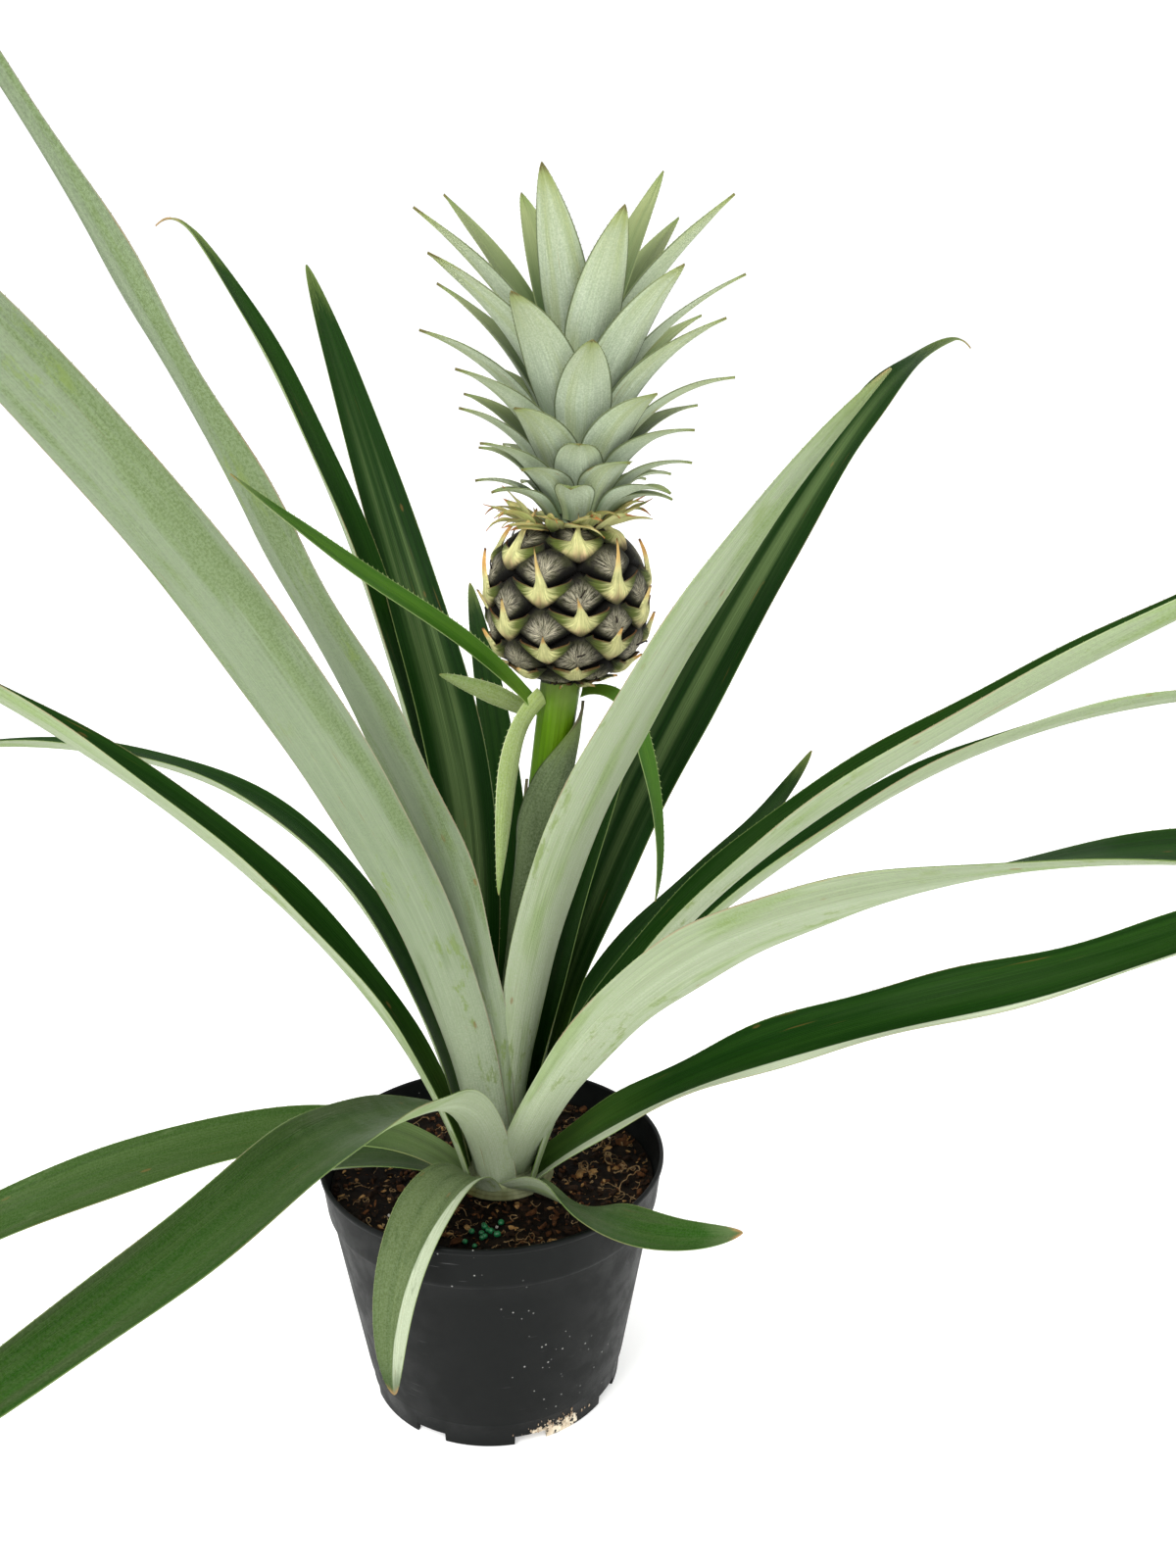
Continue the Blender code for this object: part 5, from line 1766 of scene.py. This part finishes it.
@dataclass
class Fruit:
    """The fruit: a barrel of eyes, each with its bract and spike."""
    centre: Point = (0.0316, 0.0, 0.3246)
    radius: float = 0.0290
    half_height: float = 0.0285
    skin_inset: float = 0.0007
    first_eye: int = -20
    last_eye: int = 14
    eyes_in_turn: int = 7
    eye_turn: float = 55.4
    eye_climb: float = 0.00155
    eye_heading: float = -85.0
    eye_height: float = 0.0054
    eye_squash: float = 0.73
    groove_width: float = 0.0085
    dome_height: float = 0.0046
    ray_height: float = 0.00012
    shield_half_width: float = 0.0114
    shield_depth: float = 0.0092
    shield_drop: float = -0.0054
    end_from: float = 0.021
    spike_heights: Row = (-0.027, -0.016, -0.006, 0.004, 0.011, 0.019, 0.027)
    spikes: Row = (0.0022, 0.0030, 0.0042, 0.0064, 0.0085, 0.0112, 0.0100)
    least_radius: float = 0.015
    sectors: int = 300
    rows: int = 190
    shield_columns: int = 27
    shield_rows: int = 15
    remnant_share: float = 0.55
    remnant_steps: int = 14
    scales: int = 38
    scale_form: BladeForm = BladeForm(rows=22, columns=9, thickness=0.0006, edge=0.0003, base_share=0.62,
                                      widest=0.3, sheath=0.008, wave_length=0.012, point=1.1)

    def __post_init__(self) -> None:
        """Lays out the barrel's section and its eyes."""
        share = np.linspace(-0.9990, 0.9990, 1200)
        self.section_radius = self.radius * (1 - np.abs(share) ** 2.7) ** (1 / 2.1) - self.skin_inset
        self.section_height = share * self.half_height
        steps = np.hypot(np.diff(self.section_radius), np.diff(self.section_height))
        self.section_arc = np.concatenate([[0.0], np.cumsum(steps)])
        self.eyes: list[Eye] = []
        rng = Draws.EYES.start()
        for index in range(self.first_eye, self.last_eye + 1):
            height = self.eye_height + self.eye_climb * index
            arc = float(np.interp(height, self.section_height, self.section_arc))
            turn = math.radians(self.eye_heading + self.eye_turn * index + rng.normal(0, 1.2))
            self.eyes.append(Eye(height, turn, arc + rng.normal(0, 0.0003)))

    def radius_at(self, arc: float | Array) -> float | Array:
        """Gives the barrel's radius at a distance up the section."""
        return np.interp(arc, self.section_arc, self.section_radius)

    def height_at(self, arc: float | Array) -> float | Array:
        """Gives the height from the fruit's middle at a distance up the section."""
        return np.interp(arc, self.section_arc, self.section_height)

    def surface(self, arc: Array, turn: Array, out: Array) -> Array:
        """Gives points on or above the barrel.

        Args:
            arc: distance up the section.
            turn: heading round the barrel, in radians.
            out: height above the barrel.

        Returns:
            The points.
        """
        above, below = arc + 0.0004, arc - 0.0004
        run = self.radius_at(above) - self.radius_at(below)
        climb = self.height_at(above) - self.height_at(below)
        size = np.maximum(np.hypot(run, climb), 1e-9)
        flat = self.radius_at(arc) + out * climb / size
        return layout(self.centre[0] + flat * np.cos(turn), self.centre[1] + flat * np.sin(turn),
                      self.centre[2] + self.height_at(arc) - out * run / size)

    def from_eye(self, arc: Array, turn: Array, eye: Eye) -> tuple[Array, Array]:
        """Gives places relative to an eye, across and up, in metres."""
        aside = (turn - eye.turn + np.pi) % (2 * np.pi) - np.pi
        return aside * np.maximum(self.radius_at(arc), 0.012), arc - eye.arc

    def build_skin(self) -> None:
        """Builds the barrel, domed at each eye and grooved between them."""
        top = self.section_arc[-1]
        arc, turn = np.meshgrid(np.linspace(0.0, top, self.rows), ring_angles(self.sectors), indexing="ij")
        nearest, second = np.full(arc.shape, 9.0), np.full(arc.shape, 9.0)
        across, up = np.zeros(arc.shape), np.zeros(arc.shape)
        for eye in self.eyes:
            x, y = self.from_eye(arc, turn, eye)
            far = np.hypot(x * self.eye_squash, y)
            closer = far < nearest
            second = np.where(closer, nearest, np.minimum(second, far))
            nearest = np.where(closer, far, nearest)
            across, up = np.where(closer, x, across), np.where(closer, y, up)
        edge = np.clip((second - nearest) / self.groove_width, 0, 1)
        dome = np.sqrt(np.clip(1 - (1 - np.clip(edge * 1.25, 0, 1)) ** 2.2, 0, 1))
        rays = np.sin(9 * np.arctan2(up + 0.002, across)) * self.ray_height
        pole = np.clip(np.sin(np.pi * arc / top) * 3.0, 0, 1)
        out = ((dome - 0.74) * self.dome_height + rays * edge) * pole
        draft = MeshDraft()
        # The life map holds how far each point lies from the grooves. The eye finish paints the grooves
        # near-black, partly as painted shade.
        draft.add_tube(self.surface(arc, turn, out), layout(across, up) * 100, layout(edge, 0 * edge))
        hand_over(draft.finish("fruit_barrel", "fruit_eye_skin", sharp=70), "fruit_skin", "fruit")

    def add_shield(self, draft: MeshDraft, eye: Eye, rng: np.random.Generator) -> None:
        """Adds the bract under one eye.

        Args:
            draft: the mesh.
            eye: the eye.
            rng: the source of small differences.
        """
        spike = float(np.interp(eye.height, self.spike_heights, self.spikes)) * rng.uniform(0.75, 1.15)
        half_width = self.shield_half_width * rng.uniform(0.94, 1.05)
        half_width *= 0.74 if abs(eye.height) > self.end_from else 1.0
        depth = self.shield_depth * rng.uniform(0.92, 1.08)
        lean, dryness = rng.normal(0, 0.20), float(np.clip(rng.normal(0.52, 0.35), 0.10, 1.0))
        stand = rng.uniform(1.1, 2.0) - 22 * eye.height
        a = np.linspace(-1, 1, self.shield_columns)[None]
        a = np.sign(a) * np.abs(a) ** 1.7
        b = np.linspace(0, 1, self.shield_rows)[:, None]
        inward = 1 - np.abs(a)
        low = -depth * (1 - np.abs(a) ** 1.35)
        peak = np.clip(1 - np.abs(a) / 0.21, 0, 1) ** 1.6
        high = 0.0014 * np.abs(a) - 0.0024 * inward**0.7 + (spike + 0.0024) * peak
        y = low + (high - low) * b
        narrow = np.clip(y / max(spike, 1e-4), 0, 1)
        x = a * half_width * (1 - 0.55 * narrow) + lean * np.clip(y, 0, None)
        bulge = 0.0014 * np.sin(np.pi * np.clip(b, 0.02, 0.98)) * (1 - np.abs(a) ** 2)
        rise = 0.0004 + 0.0016 * b * (1 - 0.55 * np.abs(a)) + bulge
        rise = rise + stand * np.clip(y + 0.001, 0, None) ** 1.25
        thick = 0.0003 + 0.0003 * inward * (1 - 0.5 * b)
        arc = np.clip(eye.arc + self.shield_drop + y, 0.0002, self.section_arc[-1] - 0.0002)
        turn = eye.turn + x / max(float(self.radius_at(eye.arc)), self.least_radius)
        spiky = narrow * (np.abs(a) < 0.4)
        draft.add_sheet(self.surface(arc, turn, rise + thick), self.surface(arc, turn, rise - thick),
                        layout(a, b), layout(spiky, np.full_like(spiky, dryness)))

    def build_shields(self) -> None:
        """Builds the bracts, one turn of the helix after the other."""
        rng = Draws.SHIELDS.start()
        for number, start in enumerate(range(0, len(self.eyes), self.eyes_in_turn), 1):
            draft = MeshDraft()
            for eye in self.eyes[start:start + self.eyes_in_turn]:
                self.add_shield(draft, eye, rng)
            piece = draft.finish(f"fruit_bracts_turn_{number}", "fruit_bract", "fruit_bract", sharp=55)
            hand_over(piece, "fruit_skin")

    def build_remnants(self) -> None:
        """Builds the black curls that the dried flowers left."""
        rng = Draws.REMNANTS.start()
        draft = MeshDraft()
        for eye in self.eyes:
            if rng.uniform() > self.remnant_share:
                continue
            steps = np.linspace(0, 1, self.remnant_steps)
            bend = rng.uniform(-2.2, 2.2)
            reach = rng.uniform(0.0030, 0.0062)
            x = reach * 0.5 * np.sin(bend * steps)
            arc = eye.arc - 0.0005 + reach * 0.7 * steps * np.cos(0.6 * bend * steps)
            out = 0.0012 + reach * (0.9 * steps - 0.5 * steps**2)
            turn = eye.turn + x / max(float(self.radius_at(eye.arc)), self.least_radius)
            path = self.surface(np.clip(arc, 0, self.section_arc[-1]), turn, out)
            knob = 1 + 0.9 * np.exp(-((steps - 0.95) / 0.07) ** 2)
            draft.add_tube(tube_rings(path, 0.00036 * (1 - 0.45 * steps) * knob, 7))
        hand_over(draft.finish("flower_remnants", "dried_flower"), "fruit_skin")

    def build_scales(self) -> None:
        """Builds the dried scales between the fruit and its crown."""
        rng = Draws.SCALES.start()
        draft = MeshDraft()
        for k in range(self.scales):
            heading = 360 * k / self.scales + rng.normal(0, 5)
            rise, lift, curl = rng.uniform(-4, 30), rng.uniform(-14, 18), rng.uniform(-10, 75)
            rise += 22 * abs(math.cos(math.radians(heading)))
            posture = Posture("scale", rng.uniform(0.0112, 0.0138), rng.uniform(0.0140, 0.0225),
                              rng.uniform(0.0042, 0.0066), (rise, rise + lift, rise + lift - curl),
                              (heading, heading + rng.normal(0, 30)), (rng.normal(0, 10), rng.normal(0, 30)),
                              85.0, dryness=rng.uniform(0.10, 0.80), wave=0.0003)
            foot = (*self.centre[:2], self.centre[2] + rng.uniform(0.0262, 0.0280))
            self.scale_form.build(draft, posture, foot, 60 + k)
        hand_over(draft.finish("crown_foot_scales", "dried_scale", "dried_scale"), "fruit_skin")

    def build(self) -> None:
        """Builds the fruit."""
        self.build_skin()
        self.build_shields()
        self.build_remnants()
        self.build_scales()


# Crown


# How single leaves differ from the trends: share of length, degrees turned, degrees lifted.
CROWN_SHIFTS = {
    2: (0.95, -2, -11), 7: (1.00, 4, -13), 10: (0.90, 0, -7), 11: (1.09, 0, 9), 14: (1.06, 2, 7),
    15: (0.93, 0, -8), 19: (1.00, 0, 11), 20: (0.96, 2, -7), 24: (0.98, -6, 7), 28: (1.00, 0, -8),
    36: (0.92, 4, 0), 37: (0.98, -4, 7), 40: (1.02, -4, -4), 41: (0.95, 0, -6), 42: (1.22, 4, 10),
    43: (1.02, 5, 0), 44: (1.11, -7, 2), 47: (1.07, -2, 5), 48: (0.97, 5, 0), 49: (1.02, 13, 14)}


@dataclass
class Crown:
    """The leafy crown on the fruit, its leaves set 138.8 degrees apart."""
    axis: Pair = (0.0355, 0.0)
    base: float = 0.3534
    core_radii: Row = (0.0095, 0.0090, 0.0078, 0.0058, 0.0036, 0.0002)
    core_heights: Row = (0.0, 0.010, 0.022, 0.034, 0.042, 0.044)
    core_rings: int = 40
    core_sides: int = 48
    leaves: int = 50
    climb: float = 0.0407
    climb_power: float = 2.13
    leaf_gap: float = 0.0010
    turn: float = 138.8
    front_leaf: int = 4
    front_heading: float = -98.0
    lengths: Row = (0.0275, 0.0361, 0.0545, 0.0749, 0.0878)
    widths: Row = (0.0135, 0.0170, 0.0195, 0.0215, 0.0185)
    folds: Row = (60.0, 60.0, 65.0, 75.0, 90.0)
    rises: tuple[Row, ...] = (
        (60, 68, 74, 75, 75), (41, 51, 58, 60, 63), (22, 33, 41, 47, 53), (3, 14, 25, 35, 46),
        (-18, -6, 8, 23, 41))
    collars: tuple[tuple[str, int, int, float], ...] = (
        ("crown_collar_lower", 0, 9, 0.0012), ("crown_collar_middle", 9, 18, 0.0037),
        ("crown_collar_upper", 18, 26, 0.0082))
    form: BladeForm = BladeForm(rows=46, columns=13, thickness=0.0011, edge=0.0003, base_share=0.70,
                                widest=0.42, sheath=0.016, teeth_from=0.60, tooth_gap=0.0024,
                                tooth_length=0.0006, point=0.76, keel=0.00035, tip_fold=0.12)

    def trend(self, values: Sequence[float], index: int) -> float:
        """Reads a trend that runs from the lowest leaf to the topmost."""
        return float(np.interp(index / (self.leaves - 2), np.linspace(0, 1, len(values)), values))

    def core_radius(self, climb: float) -> float:
        """Gives the core's radius at a height above the crown's foot."""
        return float(np.interp(climb, self.core_heights, self.core_radii))

    def posture(self, index: int) -> tuple[Posture, float]:
        """Gives one leaf's posture and how far it stands above the crown's foot.

        Args:
            index: the leaf, counted from the lowest.

        Returns:
            The posture and the height.
        """
        length, turn, lift = CROWN_SHIFTS.get(index, (1.0, 0, 0))
        climb = self.climb * (min(index, self.leaves - 2) / (self.leaves - 2)) ** self.climb_power
        heading = self.front_heading + (index - self.front_leaf) * self.turn + turn
        rise = tuple(self.trend(row, index) + lift * (0.3 + 0.175 * k) for k, row in enumerate(self.rises))
        roll = 3 * math.sin(1.9 * index)
        made = Posture(f"crown_leaf_{index + 1:02d}", self.core_radius(climb) + self.leaf_gap,
                       length * self.trend(self.lengths, index), self.trend(self.widths, index), rise,
                       (heading, heading), (roll, roll), self.trend(self.folds, index),
                       dryness=0.17 + 0.06 * math.sin(2.4 * index), wave=0.0003)
        return made, climb + 0.0012

    def build_core(self) -> None:
        """Builds the core that the leaves hide."""
        profile = [(AXIS_GAP, self.base)]
        profile += [(self.core_radius(z) - 0.0001 + 0.0002 * math.sin(z * 3000), self.base + z)
                    for z in np.linspace(0, self.core_heights[-1], self.core_rings)]
        # The life map's share of 0.1 gives the core the outer finish's dark foot, which is painted shade.
        draft = MeshDraft()
        draft.add_tube(lathe_rings(profile, self.core_sides, self.axis), lathe_map(profile, self.core_sides),
                       np.full((len(profile), self.core_sides, 2), 0.1))
        hand_over(draft.finish("crown_stem", "crown_leaf_outer"), "crown_leaf", "crown_core")

    def build(self) -> None:
        """Builds the crown, leaf by leaf."""
        self.build_core()
        for index in range(self.leaves):
            posture, height = self.posture(index)
            node = posture.name
            for name, first, last, low in self.collars:
                if first <= index < last:
                    node, height = name, low
            draft = MeshDraft()
            self.form.build(draft, posture, (*self.axis, self.base + height), 100 + index)
            piece = draft.finish(posture.name + "_blade", "crown_leaf_inner", "crown_leaf_outer", "leaf_tooth")
            hand_over(piece, "crown_leaf", node)


# Studio


@dataclass(frozen=True)
class SoftLight:
    """A round soft light: its power and width, where it hangs and what it faces."""
    name: str
    power: float
    size: float
    place: Point
    target: Point

    def build(self) -> None:
        """Hangs the light."""
        data = bpy.data.lights.new(self.name, "AREA")
        data.shape, data.size, data.energy = "DISK", self.size, self.power
        light = put(self.name, data)
        light.location = self.place
        aim = Vector(self.target) - Vector(self.place)
        light.rotation_euler = aim.to_track_quat("-Z", "Y").to_euler()


@dataclass
class Studio:
    """A white floor, a soft white surround, two soft lights and the camera."""
    floor_size: float = 60.0
    floor_gap: float = 0.0002
    lights: tuple[SoftLight, ...] = (
        SoftLight("key_light", 44.0, 1.0, (-1.00, -1.45, 1.85), (0.0, 0.0, 0.25)),
        SoftLight("fill_light", 9.0, 0.9, (0.30, -1.50, 0.66), (0.03, 0.0, 0.45)))
    least_glow: float = 0.55
    glow_overhead: float = 0.55
    glow_behind: float = 0.20
    glow_seen: float = 1.15
    lens: float = 30.375
    sensor: float = 36.0
    camera_place: Point = (0.0, -0.4845, 0.390)
    camera_yaw: float = 4.62
    camera_pitch: float = 15.53

    def build_floor(self) -> None:
        """Lays the floor."""
        half = self.floor_size / 2
        mesh = bpy.data.meshes.new("studio_floor")
        mesh.from_pydata([(-half, -half, 0), (half, -half, 0), (half, half, 0), (-half, half, 0)], [],
                         [(0, 1, 2, 3)])
        mesh.materials.append(bpy.data.materials["studio_white"])
        floor = put("studio_floor", mesh)
        floor.location.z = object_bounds()[0].z - self.floor_gap
        floor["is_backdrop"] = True

    def build_surround(self) -> None:
        """Makes the white surround, brightest overhead and dimmer in front."""
        world = bpy.data.worlds.new("studio_surround")
        bpy.context.scene.world = world
        world.use_nodes = True
        pen = Pen(world.node_tree)
        _, y, z = pen.parts(pen.add("ShaderNodeTexCoord").outputs["Generated"])
        overhead = pen.times(pen.mask(z, -0.2, 0.9), self.glow_overhead)
        behind = pen.times(pen.mask(y, -1.0, 0.8), self.glow_behind)
        glow = pen.plus(pen.plus(overhead, behind), self.least_glow)
        seen = pen.add("ShaderNodeLightPath").outputs["Is Camera Ray"]
        strength = pen.add("ShaderNodeMix", {0: seen, 2: glow, 3: self.glow_seen}, data_type="FLOAT")
        background = world.node_tree.nodes["Background"]
        pen.feed(background.inputs["Color"], (1.0, 1.0, 1.0))
        pen.feed(background.inputs["Strength"], strength.outputs[0])

    def build_camera(self) -> None:
        """Places the camera."""
        data = bpy.data.cameras.new("studio_camera")
        data.lens = self.lens
        data.sensor_width = self.sensor
        data.clip_start, data.clip_end = 0.01, 100.0
        camera = put("studio_camera", data)
        camera.location = self.camera_place
        camera.rotation_euler = (math.radians(90 - self.camera_pitch), 0.0, math.radians(-self.camera_yaw))
        bpy.context.scene.camera = camera

    def build(self) -> None:
        """Builds the studio."""
        self.build_floor()
        self.build_surround()
        for light in self.lights:
            light.build()
        self.build_camera()
        bpy.context.scene.view_settings.view_transform = "Standard"


def main() -> None:
    """Builds the plant and its studio, in order from the ground up."""
    logging.basicConfig(level=logging.INFO, format="%(name)s: %(message)s")
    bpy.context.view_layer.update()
    effects = Effects()
    for finish in FINISHES:
        finish.make(effects)
    pot, stem = NurseryPot(), StemBase()
    for part in (pot, PottingSoil(pot), stem, Rosette(stem), FruitStalk(), Fruit(), Crown(), Studio()):
        part.build()
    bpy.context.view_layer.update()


if __name__ == "__main__":
    main()
